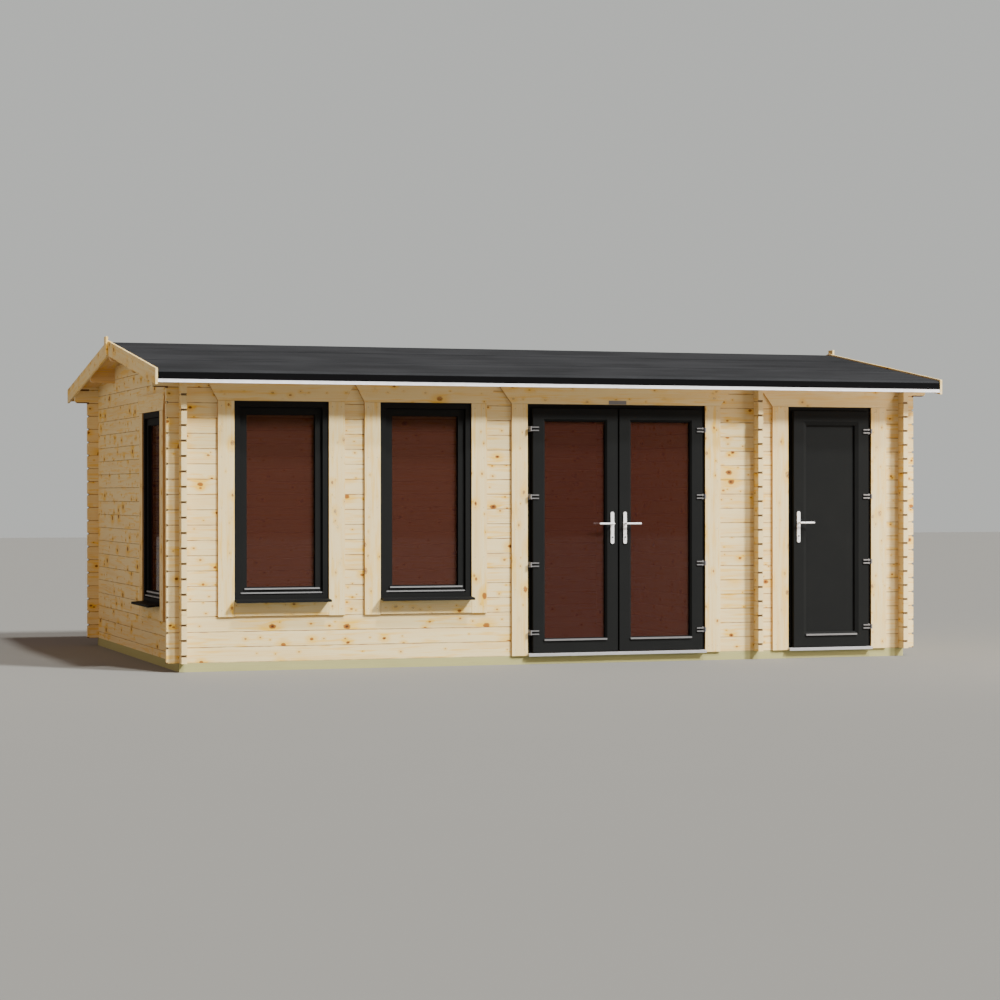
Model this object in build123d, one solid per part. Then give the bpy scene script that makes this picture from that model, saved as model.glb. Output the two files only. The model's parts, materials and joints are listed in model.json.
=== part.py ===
from build123d import *
import math
import os

# Log cabin with two rooms under one low gable roof. Sizes in millimetres.
# While it is built, X runs to the right along the front wall, Y to the back and Z up, from the outer
# front left corner of the log walls at the top of the ground bearers. The finished pieces are moved so
# that the origin is the middle of the footprint at ground level.

# Walls
LENGTH = 6300.0            # front wall, outer face to outer face
DEPTH = 3800.0             # side wall, outer face to outer face
LOG_HEIGHT = 120.0         # cover height of one log
LOG_THICK = 44.0
STUB = 100.0               # how far crossing logs run past a corner
NOTCH = 3.0                # depth of the bevel at each log joint
END_NOTCH = 14.0           # depth of the cut at each joint in the log ends
END_NOTCH_HIGH = 9.0       # half its height at the end face
END_NOTCH_FLOOR = 5.0      # and at its bottom
DOOR_COURSES = 17          # full courses beside the doors
FRONT_COURSES = 19
TOP_JOINTS = 20            # last joint that the gable logs show
TOP_LOG_ROUND = 34.0       # rounding at the ends of the top logs and purlins

# Ground frame and floor
BEARER_WIDE = 45.0
BEARER_HIGH = 70.0
MAIN_JOISTS = 7
STORE_JOISTS = 2
FLOOR = 19.0

# Roof
EAVE_UNDERSIDE = 2298.0    # underside of the roof boards over the outer face of the front wall
RIDGE_UNDERSIDE = 2590.0
BOARD = 19.0
FELT = 5.0
GABLE_OVERHANG = 216.0     # wall face to inner face of the barge boards
EAVE_OVERHANG = 242.0      # wall face to the ends of the roof boards
FASCIA = 18.0
FASCIA_LIFT = 2.0          # top of the eave board above the underside of the roof boards there
FASCIA_DEEP = 73.0
FELT_DOWN = 51.0           # how far the felt is turned down over the eave board
FELT_LIP = 3.0
DRIP_DEEP = 26.0
DRIP = 3.0
DRIP_LIP = 9.0
BARGE = 20.0
BARGE_END = 267.0          # how far a barge board runs out beyond the front wall
BARGE_LIFT = 38.0          # top of a barge board above the underside of the roof boards
BARGE_DEEP = 126.0
APEX_WIDE = 92.0
APEX_BELOW = 5.0           # apex plate below and above the barge boards at the ridge
APEX_ABOVE = 34.0
PURLIN_WIDE = 44.0
PURLIN_DEEP = 130.0
PURLIN_AT = 920.0          # inner face of the side purlins from the outer wall face

# Openings
FRAME_TOP = 2059.0
WINDOW_HIGH = 1579.0
CORNER_GAP = 306.0         # left end of the front wall to the first casing
WINDOW_GAP = 163.0         # between the casings of the two windows
DOOR_GAP = 212.0           # between the casings of the second window and the double door
SIDE_WINDOW_AT = 697.0     # near edge of the side window from the front wall face
DOUBLE_WIDE = 1571.0
DOUBLE_END = 450.0         # right edge of the double frame to the partition
STORE_WIDE = 776.0
STORE_GAP = 17.0           # between the head board of the store door and the walls on both sides of it

# Frames, casings and sills
FRAME_FACE = 8.0           # window frames stand proud of the logs by this, door frames lie flush
FRAME_BACK = 60.0
WINDOW_RIM = 48.0
DOOR_RIM = 30.0
SASH_FACE = 13.0           # front of the inner window frame behind the wall face
SASH_GROOVE = 5.0
SASH_RIM = 105.0
PANE_FACE = 40.0
PANE = 16.0
CASING = 20.0
WINDOW_CASING = 132.0
DOUBLE_CASING = 138.0
STORE_CASING = 145.0
CASING_DROP = 122.0        # side boards run below the window frame by this
HEAD_HIGH = 145.0
WINDOW_EAR = 79.0          # how far the ends of a head board slope out
DOOR_EAR = 106.0
SEAM = 1.0                 # open seam between neighbouring boards
SILL_OUT = 113.0
THRESHOLD_OUT = 50.0
THRESHOLD = 20.0
THRESHOLD_LIP = 4.0        # how far the front edge of a threshold is turned down
THRESHOLD_METAL = 4.0
BAR = 12.0                 # how far the metal bars stand off the inner window frame
BAR_HIGH = 12.0
BAR_BELOW = 4.0            # top of the upper bar below the glass
BAR_LEFT = 20.0            # how far the upper bar runs past the glass on each side
BAR_RIGHT = 34.0
LOW_BAR = 18.0
LOW_BAR_HIGH = 10.0
LOW_BAR_AT = 57.0          # underside of the lower bar above the bottom of the frame
HEAD_PLATE_LONG = 155.0    # bare plate on the head board of the double door
HEAD_PLATE_HIGH = 31.0
HEAD_PLATE_UP = 2.0
HEAD_PLATE = 2.0

# Door leaves
LEAF_FACE = 40.0           # leaves stand proud of the logs by this
LEAF_BACK = 8.0
LEAF_EDGE = 5.0            # bevel on the upright edges of a leaf
RECESS = 30.0              # glass or panel behind the face of a leaf
LEAF_PANE = 12.0
PANEL = 10.0
BEAD = 15.0                # width of the sloping bead round the glass
PANEL_BEAD = 30.0          # and round the panel of the store door
BEAD_DEEP = 14.0
LEAF_BOTTOM = 26.0
SIDE_GAP = 5.0
LOCK_GAP = 8.0
MEETING_GAP = 10.0
STILE = 94.0
RAIL_BOTTOM = 96.0
RAIL_TOP = 89.0
LEAF_BAR_UP = 95.0         # underside of the metal bar above the bottom of a leaf
LEAF_BAR_HIGH = 14.0
LEAF_BAR_PAST = 10.0       # how far the bar runs past the bead on each side
STOP_LAP = 14.0
STOP_GAP = 6.0             # seal gap between the back of a leaf and its stop

# Hinges
HINGE_HEIGHTS = (190.0, 745.0, 1300.0, 1855.0)
HINGE_IN = 14.0            # hinge axis from the frame's outer edge
HINGE_OUT = 12.0           # hinge axis in front of the face of the leaf
KNUCKLE = 8.5
KNUCKLE_HIGH = 12.5
KNUCKLE_STEP = 13.25
PIN = 4.0
PIN_PLAY = 0.1
ARM_LONG = 73.0
ARM_HIGH = 9.5
ARM_THICK = 10.0
HINGE_PLATE_HIGH = 46.0
HINGE_PLATE_WIDE = 25.0

# Handles
PLATE_WIDE = 29.0
PLATE_THICK = 8.0
PLATE_BOTTOM = 911.0
PLATE_TOP = 1175.0
PLATE_IN = 56.0            # middle of a plate from the meeting line of the double door
STORE_PLATE_IN = 83.0      # middle of the store plate from the left edge of its frame
KEY_AT = 966.0
KEY_ROUND = 8.5            # radius of the key cylinder
KEY_WIDE = 10.0
KEY_TALL = 24.0
LEVER_AT = 1078.0
LEVER = 8.0
LEVER_LONG = 122.0
LEVER_STAND = 42.0         # lever axis in front of the plate
LEVER_PLAY = 0.5

OUT = "parts"
os.makedirs(OUT, exist_ok=True)

STORE_AT = LENGTH - LOG_THICK - STORE_GAP - DOOR_EAR - STORE_CASING - STORE_WIDE
PARTITION = STORE_AT - STORE_CASING - DOOR_EAR - STORE_GAP - LOG_THICK
DOUBLE_AT = PARTITION - DOUBLE_END - DOUBLE_WIDE
MEETING = DOUBLE_AT + DOUBLE_WIDE / 2
WINDOW_WIDE = (DOUBLE_AT - DOUBLE_CASING - DOOR_GAP - WINDOW_GAP - CORNER_GAP - 4 * WINDOW_CASING) / 2
FIRST_WINDOW = CORNER_GAP + WINDOW_CASING
WINDOW_AT = (FIRST_WINDOW, FIRST_WINDOW + WINDOW_WIDE + 2 * WINDOW_CASING + WINDOW_GAP)
SLOPE = (RIDGE_UNDERSIDE - EAVE_UNDERSIDE) / (DEPTH / 2)
FASCIA_TOP = EAVE_UNDERSIDE - SLOPE * EAVE_OVERHANG + FASCIA_LIFT
FELT_EDGE = FASCIA_TOP - FELT_DOWN
DRIP_BOTTOM = FELT_EDGE - DRIP_DEEP
BARGE_TOP = RIDGE_UNDERSIDE + BARGE_LIFT
PLUMB = math.hypot(1.0, SLOPE)
BARGE_IN = (-GABLE_OVERHANG, LENGTH + GABLE_OVERHANG)
CROSSINGS_X = (0.0, PARTITION, LENGTH - LOG_THICK)
CROSSINGS_Y = (0.0, DEPTH - LOG_THICK)
OVER_DOORS = DOOR_COURSES * LOG_HEIGHT
TOP_LOG = (FRONT_COURSES - 1) * LOG_HEIGHT
WINDOW_BOTTOM = FRAME_TOP - WINDOW_HIGH
SIDE_WINDOW_BOTTOM = WINDOW_BOTTOM - LOG_HEIGHT / 2
LEAF_TOP = FRAME_TOP - DOOR_RIM - SIDE_GAP
HINGE_Y = -LEAF_FACE - HINGE_OUT
LONG_END_JOINTS = [k * LOG_HEIGHT for k in range(1, FRONT_COURSES - 1)]


def box(x0, x1, y0, y1, z0, z1):
    """A block between two values on each axis."""
    return Solid.make_box(x1 - x0, y1 - y0, z1 - z0, Plane((x0, y0, z0)))


def prism(points, direction):
    """A flat outline of 3-D points pushed along a vector."""
    return Solid.extrude(Face(Wire.make_polygon([Vector(*p) for p in points], close=True)), Vector(*direction))


def along_x(points, x0, x1):
    """An outline of (y, z) points pushed along X."""
    return prism([(x0, y, z) for y, z in points], (x1 - x0, 0, 0))


def along_y(points, y0, y1):
    """An outline of (x, z) points pushed along Y."""
    return prism([(x, y0, z) for x, z in points], (0, y1 - y0, 0))


def rod_y(x, z, radius, y0, y1):
    """A round bar along Y."""
    return Solid.make_cylinder(radius, y1 - y0, Plane((x, y0, z), z_dir=(0, 1, 0)))


def rod_z(x, y, radius, z0, z1):
    """An upright round bar."""
    return Solid.make_cylinder(radius, z1 - z0, Plane((x, y, z0)))


def roof_underside(y):
    """Height of the underside of the roof boards at a distance back from the front wall face."""
    return EAVE_UNDERSIDE + SLOPE * min(y, DEPTH - y)


def log_outline(t0, z0, tops, joints):
    """Section of a log wall: two faces with a bevelled notch at each joint and a given top on each face."""
    t1 = t0 + LOG_THICK
    near = [(t0, z0)]
    far = [(t1, z0)]
    for z in joints:
        near += [(t0, z - NOTCH), (t0 + NOTCH, z), (t0, z + NOTCH)]
        far += [(t1, z - NOTCH), (t1 - NOTCH, z), (t1, z + NOTCH)]
    near.append((t0, tops[0]))
    far.append((t1, tops[1]))
    return near + far[::-1]


def end_notch(end, inward, z):
    """Outline of the cut that a log joint makes in the end face of a wall."""
    half = END_NOTCH_HIGH + (END_NOTCH_HIGH - END_NOTCH_FLOOR) / END_NOTCH
    floor = end + inward * END_NOTCH
    return [(end - inward, z - half), (floor, z - END_NOTCH_FLOOR), (floor, z + END_NOTCH_FLOOR),
            (end - inward, z + half)]


def long_end_notches(x, inward, t0, joints):
    """The cuts in one end of the front or back wall."""
    return [along_y(end_notch(x, inward, z), t0 - 1, t0 + LOG_THICK + 1) for z in joints]


def round_corner(x, z, inward, y0, y1):
    """The waste outside a quarter round at the lower end corner of a log."""
    r = TOP_LOG_ROUND
    block = box(min(x, x + inward * r), max(x, x + inward * r), y0, y1, z, z + r)
    return block - rod_y(x + inward * r, z + r, r, y0, y1)


def cross_log_zones(z_top):
    """Height ranges in which the side walls and the partition own a corner crossing."""
    quarter = LOG_HEIGHT / 4
    count = int(z_top // LOG_HEIGHT) + 1
    return [(k * LOG_HEIGHT - quarter, k * LOG_HEIGHT + quarter) for k in range(count)]


def front_log_zones():
    """Height ranges in which the front and back walls own a corner crossing."""
    quarter = LOG_HEIGHT / 4
    return [(k * LOG_HEIGHT + quarter, (k + 1) * LOG_HEIGHT - quarter) for k in range(FRONT_COURSES)]


def long_wall(t0, x0, x1, z0, z1=None):
    """Part of the front or back wall, cut out where the crossing walls own the corner."""
    joints = [k * LOG_HEIGHT for k in range(1, FRONT_COURSES)]
    if z1 is None:
        tops = (roof_underside(t0), roof_underside(t0 + LOG_THICK))
        joints = [z for z in joints if z > z0 + NOTCH]
    else:
        tops = (z1, z1)
        joints = [z for z in joints if z0 + NOTCH < z < z1 - NOTCH]
    wall = along_x(log_outline(t0, z0, tops, joints), x0, x1)
    high = max(tops) + 10
    cuts = []
    for x in CROSSINGS_X:
        if x0 < x < x1:
            for low, top in cross_log_zones(high):
                if top > z0 and low < high:
                    cuts.append(box(x, x + LOG_THICK, t0 - 1, t0 + LOG_THICK + 1, low, max(top, low + 1)))
    zone_top = cross_log_zones(high)[-1][1]
    if z1 is None:
        for x in CROSSINGS_X:
            cuts.append(box(x, x + LOG_THICK, t0 - 1, t0 + LOG_THICK + 1, zone_top, high + 50))
    return wall.cut(*cuts) if cuts else wall


def one(shape):
    """The single solid in a shape."""
    solids = shape.solids()
    if len(solids) != 1:
        raise ValueError(f"{len(solids)} solids where one was meant")
    return solids[0]


def solids_of(shape):
    return list(shape.solids())


def top_logs(wall, t0):
    """Trim the ends of a wall so that only the top log runs on to the barge boards, rounded below."""
    t1 = t0 + LOG_THICK
    low = OVER_DOORS if t0 == 0.0 else 0.0
    wall = wall.cut(
        box(BARGE_IN[0] - 1, -STUB, t0 - 1, t1 + 1, low - 1, TOP_LOG),
        box(LENGTH + STUB, BARGE_IN[1] + 1, t0 - 1, t1 + 1, low - 1, TOP_LOG),
        round_corner(BARGE_IN[0], TOP_LOG, 1, t0 - 1, t1 + 1),
        round_corner(BARGE_IN[1], TOP_LOG, -1, t0 - 1, t1 + 1),
        *long_end_notches(-STUB, 1, t0, [z for z in LONG_END_JOINTS if z >= low]),
        *long_end_notches(LENGTH + STUB, -1, t0, [z for z in LONG_END_JOINTS if z >= low]),
    )
    return wall


def under_roof(x0, x1):
    """The space below the roof boards between two X values."""
    reach = STUB + 60
    outline = [(-reach, -1), (DEPTH + reach, -1), (DEPTH + reach, roof_underside(DEPTH + reach)),
               (DEPTH / 2, RIDGE_UNDERSIDE), (-reach, roof_underside(-reach))]
    return along_x(outline, x0, x1)


def purlin_outlines():
    """Sections of the three roof beams as (y, z) points, with tops planed to the roof slope."""
    half = PURLIN_WIDE / 2
    ridge = DEPTH / 2
    front = (PURLIN_AT - PURLIN_WIDE, PURLIN_AT)
    back = (DEPTH - PURLIN_AT, DEPTH - PURLIN_AT + PURLIN_WIDE)
    side_bottom = roof_underside(PURLIN_AT) - PURLIN_DEEP
    ridge_bottom = RIDGE_UNDERSIDE - PURLIN_DEEP - 10
    outlines = []
    for y0, y1 in (front, back):
        outlines.append([(y0, side_bottom), (y1, side_bottom), (y1, roof_underside(y1)),
                         (y0, roof_underside(y0))])
    outlines.append([(ridge - half, ridge_bottom), (ridge + half, ridge_bottom),
                     (ridge + half, roof_underside(ridge + half)), (ridge, RIDGE_UNDERSIDE),
                     (ridge - half, roof_underside(ridge - half))])
    return outlines


def gable_wall(x0):
    """A wall that runs front to back up to the roof, starting with a half log."""
    joints = [(k + 0.5) * LOG_HEIGHT for k in range(TOP_JOINTS + 1)]
    high = RIDGE_UNDERSIDE + 20
    wall = along_y(log_outline(x0, 0.0, (high, high), joints), -STUB, DEPTH + STUB)
    wall = wall & under_roof(x0 - 1, x0 + LOG_THICK + 1)
    cuts = [box(x0 - 1, x0 + LOG_THICK + 1, y, y + LOG_THICK, low, top)
            for y in CROSSINGS_Y for low, top in front_log_zones()]
    cuts += [along_x(outline, x0 - 1, x0 + LOG_THICK + 1) for outline in purlin_outlines()]
    stub_top = roof_underside(-STUB) - 2 * END_NOTCH_HIGH
    for z in joints:
        if z < stub_top:
            cuts.append(along_x(end_notch(-STUB, 1, z), x0 - 1, x0 + LOG_THICK + 1))
            cuts.append(along_x(end_notch(DEPTH + STUB, -1, z), x0 - 1, x0 + LOG_THICK + 1))
    return wall.cut(*cuts)


def window_frame():
    """A fixed window frame in its own place: left edge at 0, outer wall face at y 0, bottom at 0."""
    w = WINDOW_WIDE
    h = WINDOW_HIGH
    rim = WINDOW_RIM
    sash = WINDOW_RIM + SASH_GROOVE
    frame = box(0, w, -FRAME_FACE, FRAME_BACK, 0, h)
    groove = box(rim, w - rim, -FRAME_FACE - 1, SASH_FACE + 12, rim, h - rim)
    inner = box(sash, w - sash, SASH_FACE, SASH_FACE + 13, sash, h - sash)
    frame = frame.cut(groove - inner)
    return frame.cut(
        box(SASH_RIM, w - SASH_RIM, -FRAME_FACE - 1, FRAME_BACK + 1, SASH_RIM, h - SASH_RIM),
        box(rim, w - rim, FRAME_BACK - 8, FRAME_BACK + 1, rim, h - rim),
    )


def window_pane():
    """The glass of a window in the same place as its frame."""
    return box(SASH_RIM, WINDOW_WIDE - SASH_RIM, PANE_FACE, PANE_FACE + PANE, SASH_RIM, WINDOW_HIGH - SASH_RIM)


def window_bars():
    """Two grey metal bars on the bottom rail of a window."""
    w = WINDOW_WIDE
    top = SASH_RIM - BAR_BELOW
    sash = WINDOW_RIM + SASH_GROOVE
    upper = box(SASH_RIM - BAR_LEFT, w - SASH_RIM + BAR_RIGHT, SASH_FACE - BAR, SASH_FACE, top - BAR_HIGH, top)
    lower = box(sash, w - sash, SASH_FACE - LOW_BAR, SASH_FACE, LOW_BAR_AT, LOW_BAR_AT + LOW_BAR_HIGH)
    return [upper, lower]


def window_sill():
    """The dark sloping sill of a window."""
    outline = [(-FRAME_FACE, 14), (-SILL_OUT, 6), (-SILL_OUT, -12), (-SILL_OUT + 14, -12),
               (-CASING, -4), (-FRAME_FACE, -4)]
    return along_x(outline, 0, WINDOW_WIDE)


def casing_boards(width, height, board, drop, ear):
    """Boards round an opening: two sides and a head board with sloping ends, and one below a window."""
    boards = [box(x, x + board, -CASING, 0, -drop, height - SEAM) for x in (-board, width)]
    outline = [(-board, height), (width + board, height), (width + board + ear, height + HEAD_HIGH),
               (-board - ear, height + HEAD_HIGH)]
    boards.append(along_y(outline, -CASING, 0))
    if drop:
        boards.append(box(SEAM, width - SEAM, -CASING, 0, -drop + 3, -5))
    return boards


def at_front(shapes, x, z):
    """Move shapes made in their own place to an opening of the front wall."""
    return [s.moved(Location((x, 0, z))) for s in shapes]


def at_left_gable(shapes):
    """Move shapes made in their own place to the side window."""
    place = Location((0, SIDE_WINDOW_AT + WINDOW_WIDE, SIDE_WINDOW_BOTTOM), (0, 0, -90))
    return [s.moved(place) for s in shapes]


def door_frame(x0, x1):
    """Jambs and head in one, with the lap that the leaf closes against."""
    lap = DOOR_RIM + STOP_LAP
    stop_face = LEAF_BACK + STOP_GAP
    frame = box(x0, x1, 0, FRAME_BACK, THRESHOLD, FRAME_TOP)
    return frame.cut(
        box(x0 + DOOR_RIM, x1 - DOOR_RIM, -1, stop_face, THRESHOLD - 1, FRAME_TOP - DOOR_RIM),
        box(x0 + lap, x1 - lap, stop_face - 1, FRAME_BACK + 1, THRESHOLD - 1, FRAME_TOP - lap),
    )


def threshold(x0, x1):
    """A metal threshold whose front edge is turned down in front of the ground frame."""
    behind = -THRESHOLD_OUT + THRESHOLD_METAL
    outline = [(-THRESHOLD_OUT, -THRESHOLD_LIP), (behind, -THRESHOLD_LIP), (behind, 0), (LOG_THICK, 0),
               (LOG_THICK, THRESHOLD), (-LEAF_FACE, THRESHOLD), (-THRESHOLD_OUT, THRESHOLD - 6)]
    return along_x(outline, x0, x1)


def funnel(x0, x1, z0, z1, wider, y0, y1):
    """A block along Y that is wider all round at its first end."""
    rings = []
    for more, y in ((wider, y0), (0.0, y1)):
        corners = [(x0 - more, z0 - more), (x1 + more, z0 - more), (x1 + more, z1 + more), (x0 - more, z1 + more)]
        rings.append(Wire.make_polygon([Vector(x, y, z) for x, z in corners], close=True))
    return Solid.make_loft(rings, True)


def leaf(x0, x1, lever_x, solid=False):
    """A door leaf with a sloping bead round its glass or its recessed panel, and the hole for the lever."""
    body = box(x0, x1, -LEAF_FACE, LEAF_BACK, LEAF_BOTTOM, LEAF_TOP)
    edges = [e for e in body.edges().filter_by(Axis.Z) if e.center().Y < LEAF_BACK - 1]
    body = body.chamfer(LEAF_EDGE, None, edges)
    bead = PANEL_BEAD if solid else BEAD
    inside = STILE + bead
    low = LEAF_BOTTOM + RAIL_BOTTOM + bead
    g = (x0 + inside, x1 - inside, low, LEAF_TOP - RAIL_TOP - bead)
    slope = funnel(g[0], g[1], g[2], g[3], bead, -LEAF_FACE, -LEAF_FACE + BEAD_DEEP)
    hole = rod_y(lever_x, LEVER_AT, LEVER + LEVER_PLAY, -LEAF_FACE - 1, LEAF_BACK + 1)
    face = -LEAF_FACE + RECESS
    if solid:
        front = box(g[0], g[1], -LEAF_FACE, face, g[2], g[3])
        back = box(g[0], g[1], face + PANEL, LEAF_BACK + 1, g[2], g[3])
        return body.cut(slope, front, back, hole), None
    through = box(g[0], g[1], -LEAF_FACE - 1, LEAF_BACK + 1, g[2], g[3])
    pane = box(g[0], g[1], face, face + LEAF_PANE, g[2], g[3])
    return body.cut(slope, through, hole), pane


def leaf_bar(x0, x1, solid):
    """The grey metal bar on the bottom rail of a leaf."""
    low = LEAF_BOTTOM + LEAF_BAR_UP
    inside = STILE + (PANEL_BEAD if solid else BEAD) - LEAF_BAR_PAST
    return box(x0 + inside, x1 - inside, -LEAF_FACE - BAR, -LEAF_FACE + BEAD_DEEP, low, low + LEAF_BAR_HIGH)


def hinge_arms(axis_x, side):
    """Upper and lower knuckle of each hinge with their arms, side +1 for a leaf on the right of the axis."""
    arms = []
    for height in HINGE_HEIGHTS:
        for step in (-1, 1):
            z = height + step * KNUCKLE_STEP
            knuckle = rod_z(axis_x, HINGE_Y, KNUCKLE, z - KNUCKLE_HIGH / 2, z + KNUCKLE_HIGH / 2)
            x0, x1 = sorted((axis_x, axis_x + side * ARM_LONG))
            arm = box(x0, x1, -LEAF_FACE - ARM_THICK, -LEAF_FACE, z - ARM_HIGH / 2, z + ARM_HIGH / 2)
            bore = rod_z(axis_x, HINGE_Y, PIN + PIN_PLAY, z - KNUCKLE_HIGH, z + KNUCKLE_HIGH)
            arms.append(one((knuckle + arm) - bore))
    return arms


def hinge_plates(axis_x):
    """The middle knuckle of each hinge with its pin and the plate on the door frame."""
    plates = []
    for height in HINGE_HEIGHTS:
        low = height - KNUCKLE_HIGH / 2
        high = height + KNUCKLE_HIGH / 2
        reach = KNUCKLE_STEP + KNUCKLE_HIGH / 2
        knuckle = rod_z(axis_x, HINGE_Y, KNUCKLE, low, high)
        web = box(axis_x - 4, axis_x + 4, HINGE_Y, 0, low, high)
        side = HINGE_PLATE_WIDE / 2
        tall = HINGE_PLATE_HIGH / 2
        plate = box(axis_x - side, axis_x + side, -3, 0, height - tall, height + tall)
        pin = rod_z(axis_x, HINGE_Y, PIN, height - reach, height + reach)
        plates.append(one(knuckle + web + plate + pin))
    return plates


def handle_plates(x):
    """The long plates on both faces of a leaf, with the key cylinder on the outer one."""
    plates = []
    for y0, y1 in ((-LEAF_FACE - PLATE_THICK, -LEAF_FACE), (LEAF_BACK, LEAF_BACK + PLATE_THICK)):
        r = PLATE_WIDE / 2
        plate = box(x - r, x + r, y0, y1, PLATE_BOTTOM + r, PLATE_TOP - r)
        plate = plate + rod_y(x, PLATE_BOTTOM + r, r, y0, y1) + rod_y(x, PLATE_TOP - r, r, y0, y1)
        face0, face1 = (y0 - 3, y1) if y0 < 0 else (y0, y1 + 3)
        barrel = box(x - KEY_WIDE / 2, x + KEY_WIDE / 2, face0, face1, KEY_AT - KEY_TALL, KEY_AT)
        key = rod_y(x, KEY_AT, KEY_ROUND, face0, face1) + barrel
        hole = rod_y(x, LEVER_AT, LEVER + LEVER_PLAY, y0 - 1, y1 + 1)
        plates.append(one((plate + key) - hole))
    return plates


def lever(x, side):
    """The lever handles on both faces with the bar that joins them, side +1 pointing right."""
    y0 = -LEAF_FACE - PLATE_THICK - LEVER_STAND
    y1 = LEAF_BACK + PLATE_THICK + LEVER_STAND
    tip = x + side * LEVER_LONG
    bar = rod_y(x, LEVER_AT, LEVER, y0, y1)
    for y in (y0, y1):
        grip = Solid.make_cylinder(LEVER, LEVER_LONG, Plane((x, y, LEVER_AT), z_dir=(side, 0, 0)))
        bar = bar + grip + Solid.make_sphere(LEVER, Plane((x, y, LEVER_AT)))
        bar = bar + Solid.make_sphere(LEVER, Plane((tip, y, LEVER_AT)))
    return one(bar)


def roof_boards(front):
    """The boarded slope on one side of the ridge, with plumb ends."""
    ridge = DEPTH / 2
    eave = -EAVE_OVERHANG
    thick = BOARD * PLUMB
    outline = [(eave, roof_underside(eave)), (ridge, RIDGE_UNDERSIDE), (ridge, RIDGE_UNDERSIDE + thick),
               (eave, roof_underside(eave) + thick)]
    if not front:
        outline = [(DEPTH - y, z) for y, z in outline]
    return along_x(outline, *BARGE_IN)


def felt():
    """One sheet over both slopes, turned down over the eave boards."""
    low = BOARD * PLUMB
    high = (BOARD + FELT) * PLUMB
    eave = -EAVE_OVERHANG
    face = -EAVE_OVERHANG - FASCIA
    half = [(face - FELT_LIP, FELT_EDGE), (face - FELT_LIP, FASCIA_TOP + FELT),
            (eave, roof_underside(eave) + high), (DEPTH / 2, RIDGE_UNDERSIDE + high)]
    inner = [(DEPTH / 2, RIDGE_UNDERSIDE + low), (eave, roof_underside(eave) + low), (eave, FASCIA_TOP),
             (face, FASCIA_TOP), (face, FELT_EDGE)]
    outer_back = [(DEPTH - y, z) for y, z in half[-2::-1]]
    inner_back = [(DEPTH - y, z) for y, z in inner[:0:-1]]
    return along_x(half + outer_back + inner_back + inner, *BARGE_IN)


def eave_pieces():
    """The eave board and the drip trim on both sides."""
    eave = -EAVE_OVERHANG
    face = eave - FASCIA
    boards = []
    drips = []
    x0, x1 = BARGE_IN
    low = FASCIA_TOP - FASCIA_DEEP
    over_lip = DRIP_BOTTOM + DRIP
    lip_edge = face - DRIP - DRIP_LIP
    for back in (False, True):
        board = [(face, low), (eave, low), (eave, FASCIA_TOP), (face, FASCIA_TOP)]
        drip = [(face - DRIP, DRIP_BOTTOM), (face, DRIP_BOTTOM), (face, FELT_EDGE), (face - DRIP, FELT_EDGE)]
        lip = [(lip_edge, DRIP_BOTTOM), (face, DRIP_BOTTOM), (face, over_lip), (lip_edge, over_lip)]
        if back:
            board, drip, lip = [[(DEPTH - y, z) for y, z in part] for part in (board, drip, lip)]
        boards.append(along_x(board, x0, x1))
        drips.append(one(along_x(drip, x0, x1) + along_x(lip, x0, x1)))
    return boards, drips


def barges(x0, x1):
    """The two barge boards of one gable, plumb cut at both ends."""
    ridge = DEPTH / 2
    top = BARGE_TOP - SLOPE * SEAM / 2
    end = BARGE_TOP - SLOPE * (ridge + BARGE_END)
    front = [(-BARGE_END, end - BARGE_DEEP), (ridge - SEAM / 2, top - BARGE_DEEP), (ridge - SEAM / 2, top),
             (-BARGE_END, end)]
    back = [(DEPTH - y, z) for y, z in front]
    return [along_x(front, x0, x1), along_x(back, x0, x1)]


def purlins():
    """The three beams, rounded below at both ends."""
    beams = []
    for outline in purlin_outlines():
        beam = along_x(outline, *BARGE_IN)
        y0 = min(y for y, z in outline) - 1
        y1 = max(y for y, z in outline) + 1
        z = min(z for y, z in outline)
        beams.append(beam.cut(round_corner(BARGE_IN[0], z, 1, y0, y1), round_corner(BARGE_IN[1], z, -1, y0, y1)))
    return beams


def apex_plates():
    """The upright cover plate over the barge joint of each gable."""
    half = APEX_WIDE / 2
    ridge = DEPTH / 2
    low = BARGE_TOP - BARGE_DEEP - APEX_BELOW
    plates = []
    for x0 in (BARGE_IN[0] - BARGE - BARGE, BARGE_IN[1] + BARGE):
        plates.append(box(x0, x0 + BARGE, ridge - half, ridge + half, low, BARGE_TOP + APEX_ABOVE))
    return plates


def spread(x0, x1, count):
    """Left edges of evenly spaced joists between two faces."""
    gap = (x1 - x0 - count * BEARER_WIDE) / (count + 1)
    return [x0 + gap + k * (gap + BEARER_WIDE) for k in range(count)]


nodes = {}

# Ground frame and floor
inner_y = (BEARER_WIDE, DEPTH - BEARER_WIDE)
nodes["long_bearers"] = [
    box(BEARER_WIDE, LENGTH - BEARER_WIDE, 0, BEARER_WIDE, -BEARER_HIGH, 0),
    box(BEARER_WIDE, LENGTH - BEARER_WIDE, DEPTH - BEARER_WIDE, DEPTH, -BEARER_HIGH, 0),
]
middle_bearer = PARTITION + (LOG_THICK - BEARER_WIDE) / 2
joists = [middle_bearer] + spread(BEARER_WIDE, middle_bearer, MAIN_JOISTS)
joists += spread(middle_bearer + BEARER_WIDE, LENGTH - BEARER_WIDE, STORE_JOISTS)
nodes["cross_bearers"] = [box(x, x + BEARER_WIDE, 0, DEPTH, -BEARER_HIGH, 0) for x in (0, LENGTH - BEARER_WIDE)]
nodes["cross_bearers"] += [box(x, x + BEARER_WIDE, *inner_y, -BEARER_HIGH, 0) for x in joists]
inside_y = (LOG_THICK, DEPTH - LOG_THICK)
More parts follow.
